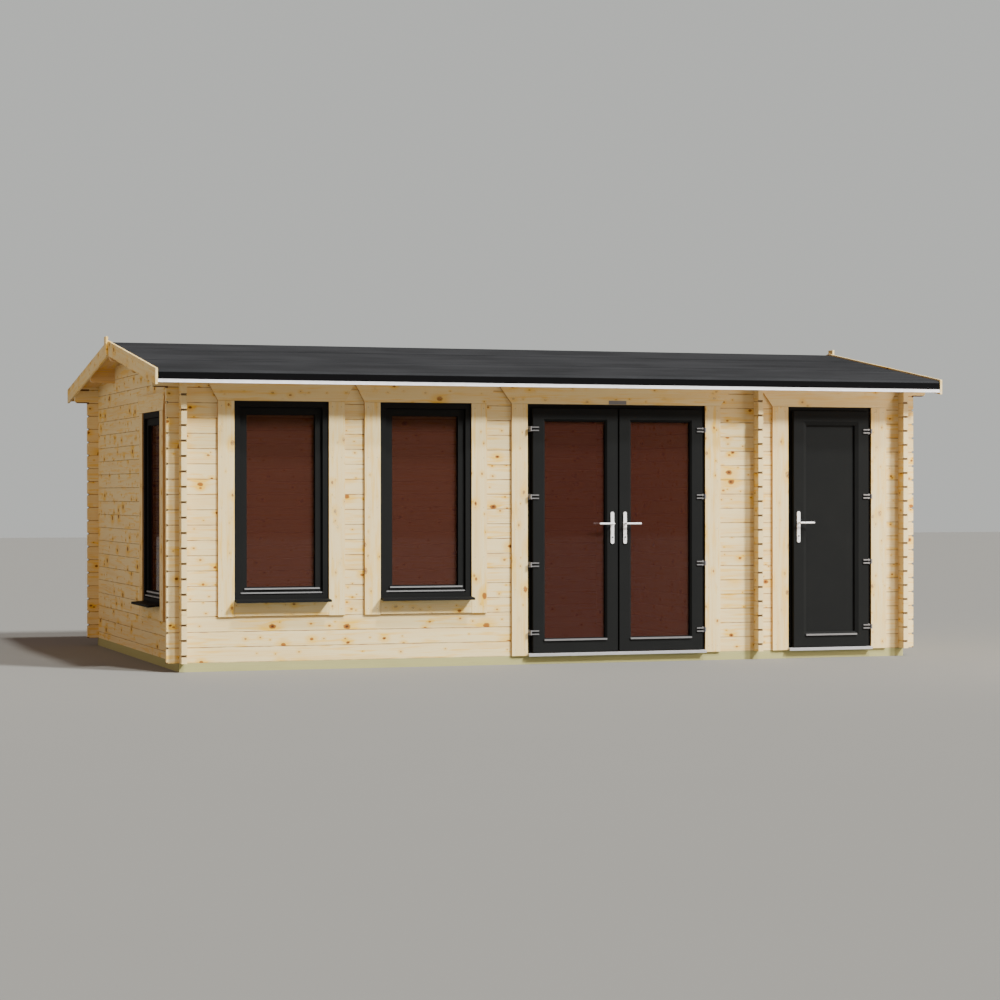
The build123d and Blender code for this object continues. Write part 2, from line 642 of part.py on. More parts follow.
nodes["floor_boards"] = [
    box(LOG_THICK, PARTITION, *inside_y, 0, FLOOR),
    box(PARTITION + LOG_THICK, LENGTH - LOG_THICK, *inside_y, 0, FLOOR),
]

# Log walls
double_x = (DOUBLE_AT, DOUBLE_AT + DOUBLE_WIDE)
store_x = (STORE_AT, STORE_AT + STORE_WIDE)
window_cuts = [box(x, x + WINDOW_WIDE, -1, LOG_THICK + 1, WINDOW_BOTTOM, FRAME_TOP) for x in WINDOW_AT]
door_cuts = [box(x0, x1, -1, LOG_THICK + 1, 0, FRAME_TOP) for x0, x1 in (double_x, store_x)]
left_end = long_end_notches(-STUB, 1, 0.0, LONG_END_JOINTS)
right_end = long_end_notches(LENGTH + STUB, -1, 0.0, LONG_END_JOINTS)
left_wall = long_wall(0.0, -STUB, double_x[0], 0.0, OVER_DOORS)
nodes["front_wall_left"] = [one(left_wall.cut(*window_cuts, *left_end))]
nodes["front_wall_middle"] = [one(long_wall(0.0, double_x[1], store_x[0], 0.0, OVER_DOORS))]
nodes["front_wall_right"] = [one(long_wall(0.0, store_x[1], LENGTH + STUB, 0.0, OVER_DOORS).cut(*right_end))]
top_wall = long_wall(0.0, *BARGE_IN, OVER_DOORS)
nodes["front_wall_top"] = [one(top_logs(top_wall, 0.0).cut(*window_cuts, *door_cuts))]
back_face = DEPTH - LOG_THICK
nodes["back_wall"] = [one(top_logs(long_wall(back_face, *BARGE_IN, 0.0), back_face))]
side_cut = box(-1, LOG_THICK + 1, SIDE_WINDOW_AT, SIDE_WINDOW_AT + WINDOW_WIDE, SIDE_WINDOW_BOTTOM,
               SIDE_WINDOW_BOTTOM + WINDOW_HIGH)
nodes["left_gable_wall"] = solids_of(gable_wall(CROSSINGS_X[0]).cut(side_cut))
nodes["partition_wall"] = solids_of(gable_wall(CROSSINGS_X[1]))
nodes["right_gable_wall"] = solids_of(gable_wall(CROSSINGS_X[2]))

# Windows
frames = []
panes = []
bars = []
sills = []
casings = []
window_casing = (WINDOW_WIDE, WINDOW_HIGH, WINDOW_CASING, CASING_DROP, WINDOW_EAR)
double_casing = (DOUBLE_WIDE, FRAME_TOP, DOUBLE_CASING, 0.0, DOOR_EAR)
store_casing = (STORE_WIDE, FRAME_TOP, STORE_CASING, 0.0, DOOR_EAR)
for x in WINDOW_AT:
    frames += at_front([window_frame()], x, WINDOW_BOTTOM)
    panes += at_front([window_pane()], x, WINDOW_BOTTOM)
    bars += at_front(window_bars(), x, WINDOW_BOTTOM)
    sills += at_front([window_sill()], x, WINDOW_BOTTOM)
    casings += at_front(casing_boards(*window_casing), x, WINDOW_BOTTOM)
nodes["front_window_frames"] = frames
nodes["side_window_frame"] = at_left_gable([window_frame()])
nodes["window_glass"] = panes + at_left_gable([window_pane()])
nodes["window_weather_bars"] = bars + at_left_gable(window_bars())
nodes["window_sills"] = sills + at_left_gable([window_sill()])
nodes["front_window_casings"] = casings
nodes["side_window_casing"] = at_left_gable(casing_boards(*window_casing))
nodes["double_door_casing"] = at_front(casing_boards(*double_casing), double_x[0], 0)
nodes["single_door_casing"] = at_front(casing_boards(*store_casing), store_x[0], 0)
head_plate = (FRAME_TOP + HEAD_PLATE_UP, FRAME_TOP + HEAD_PLATE_UP + HEAD_PLATE_HIGH)
nodes["door_head_plate"] = [box(MEETING - HEAD_PLATE_LONG / 2, MEETING + HEAD_PLATE_LONG / 2,
                                -CASING - HEAD_PLATE, -CASING, *head_plate)]

# Door frames and leaves
nodes["double_door_frame"] = [one(door_frame(*double_x))]
nodes["single_door_frame"] = [one(door_frame(*store_x))]
nodes["door_thresholds"] = [threshold(*double_x), threshold(*store_x)]
left_axis = double_x[0] + HINGE_IN
right_axis = double_x[1] - HINGE_IN
store_axis = store_x[1] - HINGE_IN
nodes["door_hinge_plates"] = hinge_plates(left_axis) + hinge_plates(right_axis) + hinge_plates(store_axis)

left_leaf = (double_x[0] + DOOR_RIM + SIDE_GAP, MEETING - MEETING_GAP / 2)
right_leaf = (MEETING + MEETING_GAP / 2, double_x[1] - DOOR_RIM - SIDE_GAP)
store_leaf = (store_x[0] + DOOR_RIM + LOCK_GAP, store_x[1] - DOOR_RIM - SIDE_GAP)
leaf_table = [
    ("left", left_leaf, MEETING - PLATE_IN, left_axis, 1, False),
    ("right", right_leaf, MEETING + PLATE_IN, right_axis, -1, False),
    ("store", store_leaf, STORE_AT + STORE_PLATE_IN, store_axis, -1, True),
]
for name, (x0, x1), plate_x, axis_x, side, solid in leaf_table:
    panel, pane = leaf(x0, x1, plate_x, solid)
    nodes[f"{name}_leaf"] = [one(panel)]
    if pane is not None:
        nodes[f"{name}_leaf_glass"] = [pane]
    bar = one(leaf_bar(x0, x1, solid) - nodes[f"{name}_leaf"][0])
    nodes[f"{name}_leaf_fittings"] = hinge_arms(axis_x, side) + [bar]
    nodes[f"{name}_handle_plates"] = handle_plates(plate_x)
    nodes[f"{name}_lever"] = [lever(plate_x, -side)]

# Roof
nodes["purlins"] = [one(beam) for beam in purlins()]
nodes["front_roof_boards"] = [roof_boards(True)]
nodes["back_roof_boards"] = [roof_boards(False)]
nodes["roof_felt"] = [felt()]
nodes["eave_boards"], nodes["eave_drip_trims"] = eave_pieces()
nodes["left_barge_boards"] = barges(BARGE_IN[0] - BARGE, BARGE_IN[0])
nodes["right_barge_boards"] = barges(BARGE_IN[1], BARGE_IN[1] + BARGE)
nodes["apex_plates"] = apex_plates()

to_origin = Location((-LENGTH / 2, -DEPTH / 2, BEARER_HIGH))
for name, solids in nodes.items():
    placed = [s.moved(to_origin) for s in solids]
    shape = placed[0] if len(placed) == 1 else Compound(children=placed)
    shape.label = name
    export_step(shape, os.path.join(OUT, f"{name}.step"))
    print(name, len(placed), round(sum(s.volume for s in placed) / 1e9, 5))
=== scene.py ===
import json
import logging
import math
from dataclasses import dataclass, field
from enum import Enum
from typing import Any, Sequence, Union

import bpy
import numpy as np
from mathutils import Matrix, Vector

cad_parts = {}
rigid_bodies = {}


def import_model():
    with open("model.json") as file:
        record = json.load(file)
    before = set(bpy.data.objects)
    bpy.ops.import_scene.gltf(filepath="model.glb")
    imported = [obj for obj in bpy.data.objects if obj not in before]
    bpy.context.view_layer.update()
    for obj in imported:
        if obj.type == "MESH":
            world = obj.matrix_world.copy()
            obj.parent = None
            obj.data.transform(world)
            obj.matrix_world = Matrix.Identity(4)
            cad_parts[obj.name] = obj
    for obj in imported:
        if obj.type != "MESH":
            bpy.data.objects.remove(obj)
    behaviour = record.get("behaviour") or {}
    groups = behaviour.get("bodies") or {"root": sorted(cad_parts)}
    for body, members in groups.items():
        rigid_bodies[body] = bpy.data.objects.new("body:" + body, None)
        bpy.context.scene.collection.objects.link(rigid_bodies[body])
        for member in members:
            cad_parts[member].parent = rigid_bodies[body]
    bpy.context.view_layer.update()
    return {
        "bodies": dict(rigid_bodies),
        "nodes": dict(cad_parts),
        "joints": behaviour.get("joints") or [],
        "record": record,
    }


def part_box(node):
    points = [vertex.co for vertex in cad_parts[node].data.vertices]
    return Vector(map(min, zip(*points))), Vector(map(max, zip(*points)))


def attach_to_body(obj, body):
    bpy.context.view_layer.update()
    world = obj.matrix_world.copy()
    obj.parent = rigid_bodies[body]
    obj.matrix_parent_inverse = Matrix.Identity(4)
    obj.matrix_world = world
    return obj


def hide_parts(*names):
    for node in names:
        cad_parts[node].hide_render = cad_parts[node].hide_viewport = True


# The looks of the two-room log cabin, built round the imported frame. Metres; X runs right along the
# front wall, Y to the back and Z up, from the middle of the footprint at ground level.

log = logging.getLogger("log_cabin")

FRONT_FACE = -1.9          # outer face of the front wall
LEFT_FACE = -3.15          # outer face of the left gable wall
LOG_BASE = 0.07            # top of the ground bearers, where the first log starts
LOG_HEIGHT = 0.12
LOG_THICK = 0.044

Colour = tuple[float, float, float]
Input = Union[float, Sequence[float], "Wire", bpy.types.NodeSocket]


class Axis(Enum):
    """A direction of the cabin."""

    X = 0
    Y = 1
    Z = 2


class Wire:
    """A node's output that can stand in a sum."""

    def __init__(self, graph: "Graph", socket: bpy.types.NodeSocket) -> None:
        """Keep the socket and the graph that new nodes go into."""
        self.graph = graph
        self.socket = socket

    def _math(self, operation: str, *values: Input) -> "Wire":
        """Add a Math node."""
        node = self.graph.node("Math", {"operation": operation}, dict(enumerate(values)))
        return Wire(self.graph, node.outputs[0])

    def __add__(self, other: Input) -> "Wire":
        """Sum."""
        return self._math("ADD", self, other)

    def __radd__(self, other: Input) -> "Wire":
        """Sum with the wire on the right."""
        return self._math("ADD", other, self)

    def __sub__(self, other: Input) -> "Wire":
        """Difference."""
        return self._math("SUBTRACT", self, other)

    def __rsub__(self, other: Input) -> "Wire":
        """Difference with the wire on the right."""
        return self._math("SUBTRACT", other, self)

    def __mul__(self, other: Input) -> "Wire":
        """Product."""
        return self._math("MULTIPLY", self, other)

    def __rmul__(self, other: Input) -> "Wire":
        """Product with the wire on the right."""
        return self._math("MULTIPLY", other, self)

    def __truediv__(self, other: Input) -> "Wire":
        """Quotient."""
        return self._math("DIVIDE", self, other)

    def floor(self) -> "Wire":
        """Whole part."""
        return self._math("FLOOR", self)

    def sine(self) -> "Wire":
        """Sine."""
        return self._math("SINE", self)

    def size(self) -> "Wire":
        """Value without its sign."""
        return self._math("ABSOLUTE", self)

    def root(self) -> "Wire":
        """Square root."""
        return self._math("SQRT", self)

    def step(self, low: Input, high: Input) -> "Wire":
        """Smooth rise from 0 at low to 1 at high, or a fall where low is the larger."""
        node = self.graph.node("MapRange", {"interpolation_type": "SMOOTHSTEP"},
                               {"Value": self, "From Min": low, "From Max": high})
        return Wire(self.graph, node.outputs[0])


class Graph:
    """The nodes of one material."""

    def __init__(self, name: str) -> None:
        """Start a material with only its output and one shader."""
        self.material = bpy.data.materials.new(name)
        self.material.use_nodes = True
        self.tree = self.material.node_tree
        self.tree.nodes.clear()
        self.shader = self.node("BsdfPrincipled")
        output = self.node("OutputMaterial")
        self.tree.links.new(self.shader.outputs[0], output.inputs["Surface"])

    def node(self, kind: str, settings: dict[str, Any] | None = None,
             inputs: dict[int | str, Input] | None = None) -> bpy.types.Node:
        """Add a node.

        Args:
            kind: The node's type without its first word.
            settings: What is set on the node itself; "stops" fills a colour ramp.
            inputs: Values or links of its sockets, by name or number.
        Returns:
            The node.
        """
        node = self.tree.nodes.new("ShaderNode" + kind)
        for key, value in (settings or {}).items():
            if key == "stops":
                self._fill_ramp(node.color_ramp, value)
            else:
                setattr(node, key, value)
        for key, value in (inputs or {}).items():
            self.feed(node.inputs[key], value)
        return node

    def _fill_ramp(self, ramp: bpy.types.ColorRamp, stops: Sequence[tuple[float, Colour]]) -> None:
        """Give a colour ramp its stops."""
        while len(ramp.elements) < len(stops):
            ramp.elements.new(1.0)
        for element, (place, colour) in zip(ramp.elements, stops):
            element.position = place
            element.color = (*colour, 1.0)

    def feed(self, socket: bpy.types.NodeSocket, value: Input) -> None:
        """Link a wire to a socket, or set the socket's value."""
        if isinstance(value, Wire):
            self.tree.links.new(value.socket, socket)
        elif isinstance(value, bpy.types.NodeSocket):
            self.tree.links.new(value, socket)
        elif isinstance(value, (tuple, list)) and socket.type == "RGBA":
            socket.default_value = (*value[:3], 1.0)
        else:
            socket.default_value = value

    def wire(self, kind: str, settings: dict[str, Any] | None = None,
             inputs: dict[int | str, Input] | None = None, output: int | str = 0) -> Wire:
        """Add a node and return one of its outputs as a wire."""
        return Wire(self, self.node(kind, settings, inputs).outputs[output])

    def vector(self, x: Input, y: Input, z: Input) -> Wire:
        """Three values as one vector."""
        return self.wire("CombineXYZ", None, {0: x, 1: y, 2: z})

    def split(self, vector: Input) -> tuple[Wire, Wire, Wire]:
        """The three values of a vector."""
        node = self.node("SeparateXYZ", None, {0: vector})
        return Wire(self, node.outputs[0]), Wire(self, node.outputs[1]), Wire(self, node.outputs[2])

    def place(self) -> tuple[Wire, Wire, Wire]:
        """Object coordinates, which are the cabin's own."""
        return self.split(self.wire("TexCoord", output="Object"))

    def facing(self) -> tuple[Wire, Wire, Wire]:
        """How far the surface faces along each of the cabin's axes, without sign."""
        x, y, z = self.split(self.wire("TexCoord", output="Normal"))
        return x.size(), y.size(), z.size()

    def noise(self, vector: Input, scale: float, detail: float = 2.0, rough: float = 0.5) -> Wire:
        """Smooth noise between 0 and 1."""
        return self.wire("TexNoise", {"noise_dimensions": "3D"},
                         {"Vector": vector, "Scale": scale, "Detail": detail, "Roughness": rough})

    def chance(self, value: Input) -> Wire:
        """An even random number that belongs to a value."""
        return self.wire("TexWhiteNoise", {"noise_dimensions": "1D"}, {"W": value})

    def blend(self, share: Input, first: Input, second: Input) -> Wire:
        """Mix two colours."""
        node = self.node("Mix", {"data_type": "RGBA"})
        self.feed(node.inputs[0], share)
        self.feed(node.inputs[6], first)
        self.feed(node.inputs[7], second)
        return Wire(self, node.outputs[2])

    def bump(self, height: Input, distance: float, strength: float = 1.0) -> Wire:
        """A surface normal from a height."""
        return self.wire("Bump", None, {"Height": height, "Distance": distance, "Strength": strength})

    def finish(self, **sockets: Input) -> bpy.types.Material:
        """Feed the shader's sockets by name, with underscores for spaces, and return the material."""
        for key, value in sockets.items():
            self.feed(self.shader.inputs[key.replace("_", " ")], value)
        return self.material


@dataclass(frozen=True)
class Tone:
    """The colours of a timber, of its resin streaks and of its knots, and the painted shade in its log-end notches and
    on its board edges.
    """

    light: Colour = (0.82, 0.665, 0.345)
    deep: Colour = (0.76, 0.53, 0.205)
    gold: Colour = (0.82, 0.50, 0.06)
    line: Colour = (0.22, 0.072, 0.016)
    knot: Colour = (0.30, 0.10, 0.007)
    pith: Colour = (0.045, 0.011, 0.003)
    notch_shade: Colour = (0.075, 0.022, 0.007)
    sawn: Colour = (0.42, 0.20, 0.055)


@dataclass(frozen=True)
class Knots:
    """One scatter of knots: cells per metre, radius range in cells and the share of cells that have one."""

    per_metre: float
    small: float
    large: float
    share: float
    salt: float = 0.0

    def masks(self, graph: Graph, along: Wire, across: Wire) -> tuple[Wire, Wire, Wire]:
        """Make the scatter.

        Args:
            graph: The material's nodes.
            along: Place along the grain.
            across: Place across it.
        Returns:
            Knot, halo and pith, each 1 inside and 0 outside.
        """
        cell = graph.vector((along + self.salt) * (self.per_metre * 0.8), across * (self.per_metre * 1.15), 0.0)
        voronoi = graph.node("TexVoronoi", {"voronoi_dimensions": "2D"},
                             {"Vector": cell, "Scale": 1.0, "Randomness": 1.0})
        distance = Wire(graph, voronoi.outputs["Distance"])
        traits = graph.split(voronoi.outputs["Color"])
        radius = traits[0] * traits[0] * (self.large - self.small) + self.small
        present = traits[1].step(1.0 - self.share, 1.02 - self.share)
        wobble = graph.noise(graph.vector(along * 40.0, across * 70.0, self.salt), 1.0, 2.0)
        edge = distance + (wobble - 0.5) * radius * 0.7
        knot = edge.step(radius * 1.1, radius * 0.7) * present
        halo = edge.step(radius * 4.4, radius * 0.9) * present
        pith = edge.step(radius * 0.55, radius * 0.2) * present * traits[2].step(0.35, 0.6)
        return knot, halo, pith


@dataclass(frozen=True)
class Timber:
    """Planed softwood with grain lines, knots and a tone of its own for each log or board.

    The pattern reads three lengths: along the grain, across it and through the thickness. They come from
    the cabin's coordinates, for logs, or from the attribute "grain" that a board mesh carries. Faces that
    look along the grain show rings.
    """

    name: str
    tone: Tone = field(default_factory=Tone)
    along: Axis | None = None      # grain direction of a CAD node, or nothing for the attribute
    across: Axis = Axis.Z
    pitch: float = LOG_HEIGHT      # height of one log or width of one board
    start: float = LOG_BASE        # where the first log starts
    seed: float = 0.0
    knots: Knots = Knots(4.2, 0.045, 0.115, 0.62)
    specks: Knots = Knots(9.0, 0.040, 0.100, 0.46, 5.3)
    joint: float = 0.0             # half width of the brown line at each joint
    notch_shade_high: float = 0.0105     # half height of the painted shade in each notch of a log end
    stub_end: float = 0.0          # where the painted notch shade in the log ends starts, from the cabin's middle
    face: Axis | None = None       # boards whose edges, all faces but this way, get painted shade

    def build(self) -> bpy.types.Material:
        """Make the material."""
        graph = Graph(self.name)
        end = None
        joint = None
        if self.along is None:
            source = graph.wire("Attribute", {"attribute_name": "grain"}, output="Vector")
            along, across, through = graph.split(source)
            board = graph.wire("Attribute", {"attribute_name": "board"}, output="Fac")
        else:
            place = graph.place()
            along = place[self.along.value]
            across = place[self.across.value]
            through = place[3 - self.along.value - self.across.value]
            course = (across - self.start) / self.pitch
            board = course.floor() + self.seed
            joint = ((course - course.floor()) - 0.5).size()
            end = graph.facing()[self.along.value].step(0.6, 0.8)
            reach = along.size().step(self.stub_end - 0.001, self.stub_end + 0.001)
        chance = graph.chance(board)
        along = along + chance * 37.0
        beside = across + chance * 19.0
        knot, halo, pith = self.knots.masks(graph, along, beside)
        speck, glow, _ = self.specks.masks(graph, along, beside)
        bent = across + halo * 0.010 + glow * 0.004
        figure_at = graph.noise(graph.vector(along * 0.5, bent * 8.0, through * 8.0), 1.0, 1.0)
        figure = ((bent * 62.0 + figure_at * 10.0) * math.tau).sine() * 0.5 + 0.5
        fibre = graph.noise(graph.vector(along * 4.0, bent * 380.0, through * 380.0), 1.0, 3.0, 0.65)
        patch = graph.noise(graph.vector(along * 1.1, bent * 14.0, through * 14.0), 1.0, 2.0)
        resin = graph.noise(graph.vector(along * 2.6 + 7.0, bent * 34.0, through * 20.0), 1.0, 2.0, 0.6)
        mix = figure * 0.24 + (fibre - 0.5) * 1.0 + (patch - 0.5) * 2.0 + chance * 0.30
        tone = self.tone
        colour = graph.blend(mix.step(-0.1, 1.15), tone.light, tone.deep)
        gold = resin.step(0.51, 0.68) * 0.62 + halo * 0.72 + glow * 0.56
        colour = graph.blend(gold, colour, tone.gold)
        colour = graph.blend(knot * 0.95, colour, tone.knot)
        colour = graph.blend(speck * 0.85, colour, tone.knot)
        colour = graph.blend(pith * 0.85, colour, tone.pith)
        height = (fibre * 0.4 + figure * 0.6) * 0.5 + knot * 0.6
        if joint is not None and self.joint:
            broken = graph.noise(graph.vector(along * 7.0, board, 0.0), 1.0, 3.0).step(0.35, 0.62) * 0.65 + 0.25
            seam = joint.step(0.5 - 1.5 * self.joint / self.pitch, 0.5 - 0.3 * self.joint / self.pitch)
            colour = graph.blend(seam * broken, colour, tone.line)
        if end is not None:
            centre = (board + 0.5) * self.pitch + self.start - self.seed * self.pitch
            lift = (across - centre) * 0.8
            side = through * 1.0 + 0.02
            ring = ((lift * lift + side * side).root() * 620.0 + fibre * 3.0).sine() * 0.5 + 0.5
            cut = graph.blend(ring * 0.55, tone.light, tone.deep)
            colour = graph.blend(end * 0.8, colour, cut)
        # Painted shade: past stub_end, each joint on a log end gets a near-black band standing in for the shade inside
        # the notch.
        if self.stub_end:
            gap = joint.step(0.5 - self.notch_shade_high / self.pitch, 0.5 - 0.6 * self.notch_shade_high / self.pitch)
            colour = graph.blend(reach * gap * 0.92, colour, tone.notch_shade)
        # Painted shade: every face but the one facing this way is darkened, standing in for the shade along the casing
        # boards' sides.
        if self.face is not None:
            edge = graph.facing()[self.face.value].step(0.75, 0.35)
            colour = graph.blend(edge * 0.8, colour, tone.sawn)
        rough = fibre * 0.16 + 0.52
        return graph.finish(Base_Color=colour, Roughness=rough, Normal=graph.bump(height, 0.0006, 0.5),
                            Specular_IOR_Level=0.3)


@dataclass(frozen=True)
class Coating:
    """A satin coating with faint unevenness and a little dust."""

    name: str
    colour: Colour
    dust: Colour
    roughness: float = 0.64
    shine: float = 0.10

    def build(self) -> bpy.types.Material:
        """Make the material."""
        graph = Graph(self.name)
        x, y, z = graph.place()
        place = graph.vector(x, y, z)
        cloud = graph.noise(place, 3.5, 4.0, 0.6)
        speck = graph.noise(place, 900.0, 1.0)
        colour = graph.blend(cloud.step(0.35, 0.8) * 0.5, self.colour, self.dust)
        return graph.finish(Base_Color=colour, Roughness=cloud * 0.14 + self.roughness - 0.07,
                            Specular_IOR_Level=self.shine, Normal=graph.bump(speck, 0.0002, 0.35))


@dataclass(frozen=True)
class Metal:
    """Bare or plated metal with fine brushing."""

    name: str
    colour: Colour
    roughness: float
    metallic: float = 1.0

    def build(self) -> bpy.types.Material:
        """Make the material."""
        graph = Graph(self.name)
        x, y, z = graph.place()
        brush = graph.noise(graph.vector(x * 30.0, y * 30.0, z * 900.0), 1.0, 3.0)
        cloud = graph.noise(graph.vector(x, y, z), 14.0, 3.0)
        darker = tuple(0.82 * c for c in self.colour)
        colour = graph.blend(cloud.step(0.3, 0.75) * 0.6, self.colour, darker)
        return graph.finish(Base_Color=colour, Metallic=self.metallic,
                            Roughness=brush * 0.10 + cloud * 0.08 + self.roughness - 0.09,
                            Normal=graph.bump(brush, 0.0001, 0.3))


@dataclass(frozen=True)
class Glass:
    """Tinted panes that the rooms show through."""

    name: str
    colour: Colour = (0.105, 0.030, 0.020)
    cover: float = 0.46        # share of light that one face keeps back

    def build(self) -> bpy.types.Material:
        """Make the material."""
        graph = Graph(self.name)
        x, y, z = graph.place()
        haze = graph.noise(graph.vector(x, y, z * 0.6), 2.2, 3.0)
        alpha = haze * 0.05 + self.cover - 0.025
        return graph.finish(Base_Color=self.colour, Roughness=haze * 0.02 + 0.01, Alpha=alpha, IOR=1.5,
                            Specular_IOR_Level=0.25)


@dataclass(frozen=True)
class Felt:
    """Bitumen felt with mineral grains and streaks along the roof."""

    name: str
    colour: Colour = (0.0160, 0.0170, 0.0185)
    grey: Colour = (0.044, 0.046, 0.050)
    edge: Colour = (0.0035, 0.0035, 0.0040)
    edge_top: float = 2.334    # the sheet is bare black where it is turned down below this height

    def build(self) -> bpy.types.Material:
        """Make the material."""
        graph = Graph(self.name)
        x, y, z = graph.place()
        grain = graph.noise(graph.vector(x, y, z), 420.0, 2.0, 0.7)
        streak = graph.noise(graph.vector(x * 0.35, y * 7.0, z * 7.0), 1.0, 4.0, 0.6)
        cloud = graph.noise(graph.vector(x * 1.3, y * 2.6, z * 2.6), 1.0, 3.0, 0.55)
        share = streak.step(0.3, 0.75) * 0.22 + cloud.step(0.3, 0.7) * 0.30 + grain.step(0.50, 0.72) * 0.38
        colour = graph.blend(share, self.colour, self.grey)
        colour = graph.blend(z.step(self.edge_top + 0.003, self.edge_top), colour, self.edge)
        return graph.finish(Base_Color=colour, Roughness=0.86 + grain * 0.1, Specular_IOR_Level=0.06,
                            Normal=graph.bump(grain * 0.9 + streak * 0.15, 0.0012, 0.8))


@dataclass(frozen=True)
class TreatedWood:
    """Pale green pressure treated joists, darker where damp."""

    name: str
    light: Colour = (0.45, 0.43, 0.185)
    dark: Colour = (0.30, 0.28, 0.105)

    def build(self) -> bpy.types.Material:
        """Make the material."""
        graph = Graph(self.name)
        x, y, z = graph.place()
        fibre = graph.noise(graph.vector(x * 5.0, y * 5.0, z * 260.0), 1.0, 4.0, 0.7)
        cloud = graph.noise(graph.vector(x * 2.0, y * 2.0, z * 9.0), 1.0, 3.0)
        colour = graph.blend(fibre * 0.6 + cloud * 0.5 - 0.05, self.light, self.dark)
        return graph.finish(Base_Color=colour, Roughness=0.82, Normal=graph.bump(fibre, 0.0008, 0.6))


@dataclass(frozen=True)
class Plain:
    """The studio floor."""

    name: str
    colour: Colour

    def build(self) -> bpy.types.Material:
        """Make the material."""
        graph = Graph(self.name)
        x, y, z = graph.place()
        cloud = graph.noise(graph.vector(x, y, z), 0.8, 3.0)
        colour = graph.blend(cloud * 0.12, self.colour, tuple(0.8 * c for c in self.colour))
        return graph.finish(Base_Color=colour, Roughness=0.9, Specular_IOR_Level=0.2)


@dataclass(frozen=True)
class Finishes:
    """Every material of the cabin, made once."""

    front_logs: bpy.types.Material
    side_logs: bpy.types.Material
    purlins: bpy.types.Material
    fascia: bpy.types.Material
    boards: bpy.types.Material
    front_casing: bpy.types.Material
    side_casing: bpy.types.Material
    soffit: bpy.types.Material
    bearers: bpy.types.Material
    felt: bpy.types.Material
    coating: bpy.types.Material
    seal: bpy.types.Material
    glass: bpy.types.Material
    door_glass: bpy.types.Material
    leaf_coating: bpy.types.Material
    bar_metal: bpy.types.Material
    satin: bpy.types.Material
    trim: bpy.types.Material
    chrome: bpy.types.Material
    zinc: bpy.types.Material

    @classmethod
    def make(cls) -> "Finishes":
        """Build all the materials."""
        half = LOG_HEIGHT / 2
        warm = Tone(light=(0.74, 0.50, 0.22), deep=(0.60, 0.36, 0.13))
        return cls(
            # stub_end sets where the painted notch shade on the log ends begins.
            front_logs=Timber("spruce_front_logs", along=Axis.X, joint=0.0036, stub_end=3.2355).build(),
            side_logs=Timber("spruce_side_logs", along=Axis.Y, start=LOG_BASE - half, seed=41.0,
                             joint=0.0026, stub_end=1.9855).build(),
            purlins=Timber("spruce_purlins", warm, along=Axis.X, pitch=0.4, seed=71.0).build(),
            fascia=Timber("spruce_fascia", warm, along=Axis.X, pitch=0.5, seed=83.0).build(),
            boards=Timber("spruce_boards").build(),
            # The casings' edges carry painted shade.
            front_casing=Timber("spruce_front_casing", face=Axis.Y).build(),
            side_casing=Timber("spruce_side_casing", face=Axis.X).build(),
            soffit=Timber("spruce_roof_boards", warm).build(),
            bearers=TreatedWood("green_bearer_wood").build(),
            felt=Felt("charcoal_roof_felt").build(),
            coating=Coating("anthracite_coating", (0.0082, 0.0088, 0.0086), (0.011, 0.0114, 0.011)).build(),
            leaf_coating=Coating("anthracite_leaf_coating", (0.0108, 0.0115, 0.0115), (0.014, 0.0145, 0.0142),
                                 0.74, 0.05).build(),
            seal=Coating("black_rubber_seal", (0.006, 0.006, 0.0065), (0.010, 0.010, 0.010), 0.6).build(),
            glass=Glass("tinted_pane", (0.078, 0.027, 0.019)).build(),
            door_glass=Glass("tinted_door_pane", (0.059, 0.019, 0.014)).build(),
            bar_metal=Metal("satin_bar", (0.27, 0.275, 0.28), 0.40, 0.35).build(),
            satin=Metal("satin_aluminium", (0.50, 0.50, 0.51), 0.34, 0.35).build(),
            trim=Metal("pale_drip_trim", (0.82, 0.82, 0.85), 0.45, 0.0).build(),
            chrome=Metal("polished_handle", (0.97, 0.97, 0.98), 0.26, 0.10).build(),
            zinc=Metal("zinc_plate", (0.23, 0.23, 0.235), 0.38, 0.45).build(),
        )


def block_corners(low: np.ndarray, high: np.ndarray) -> np.ndarray:
    """Corners of upright blocks.

    Each corner takes low or high on each axis: the lower ring first, anticlockwise from above.

    Args:
        low: Lowest corners, one row a block.
        high: Highest corners.
    Returns:
        Array of blocks by 8 corners by 3.
    """
    pick = np.array([[0, 0, 0], [1, 0, 0], [1, 1, 0], [0, 1, 0], [0, 0, 1], [1, 0, 1], [1, 1, 1], [0, 1, 1]])
    low = np.atleast_2d(low)[:, None, :]
    high = np.atleast_2d(high)[:, None, :]
    return low + (high - low) * pick[None]


def block_faces(corners: np.ndarray) -> tuple[np.ndarray, np.ndarray]:
    """Points and outward faces of many blocks.

    A block whose corners run the other way round, by the sign of its edge volume, has each ring reversed.
    """
    edges = corners[:, [1, 3, 4]] - corners[:, :1]
    volume = np.einsum("ij,ij->i", np.cross(edges[:, 0], edges[:, 1]), edges[:, 2])
    corners = np.where((volume < 0)[:, None, None], corners[:, [0, 3, 2, 1, 4, 7, 6, 5]], corners)
    sides = np.array([[0, 3, 2, 1], [4, 5, 6, 7], [0, 1, 5, 4], [1, 2, 6, 5], [2, 3, 7, 6], [3, 0, 4, 7]])
    faces = sides[None] + 8 * np.arange(len(corners))[:, None, None]
    return corners.reshape(-1, 3), faces.reshape(-1, 4)


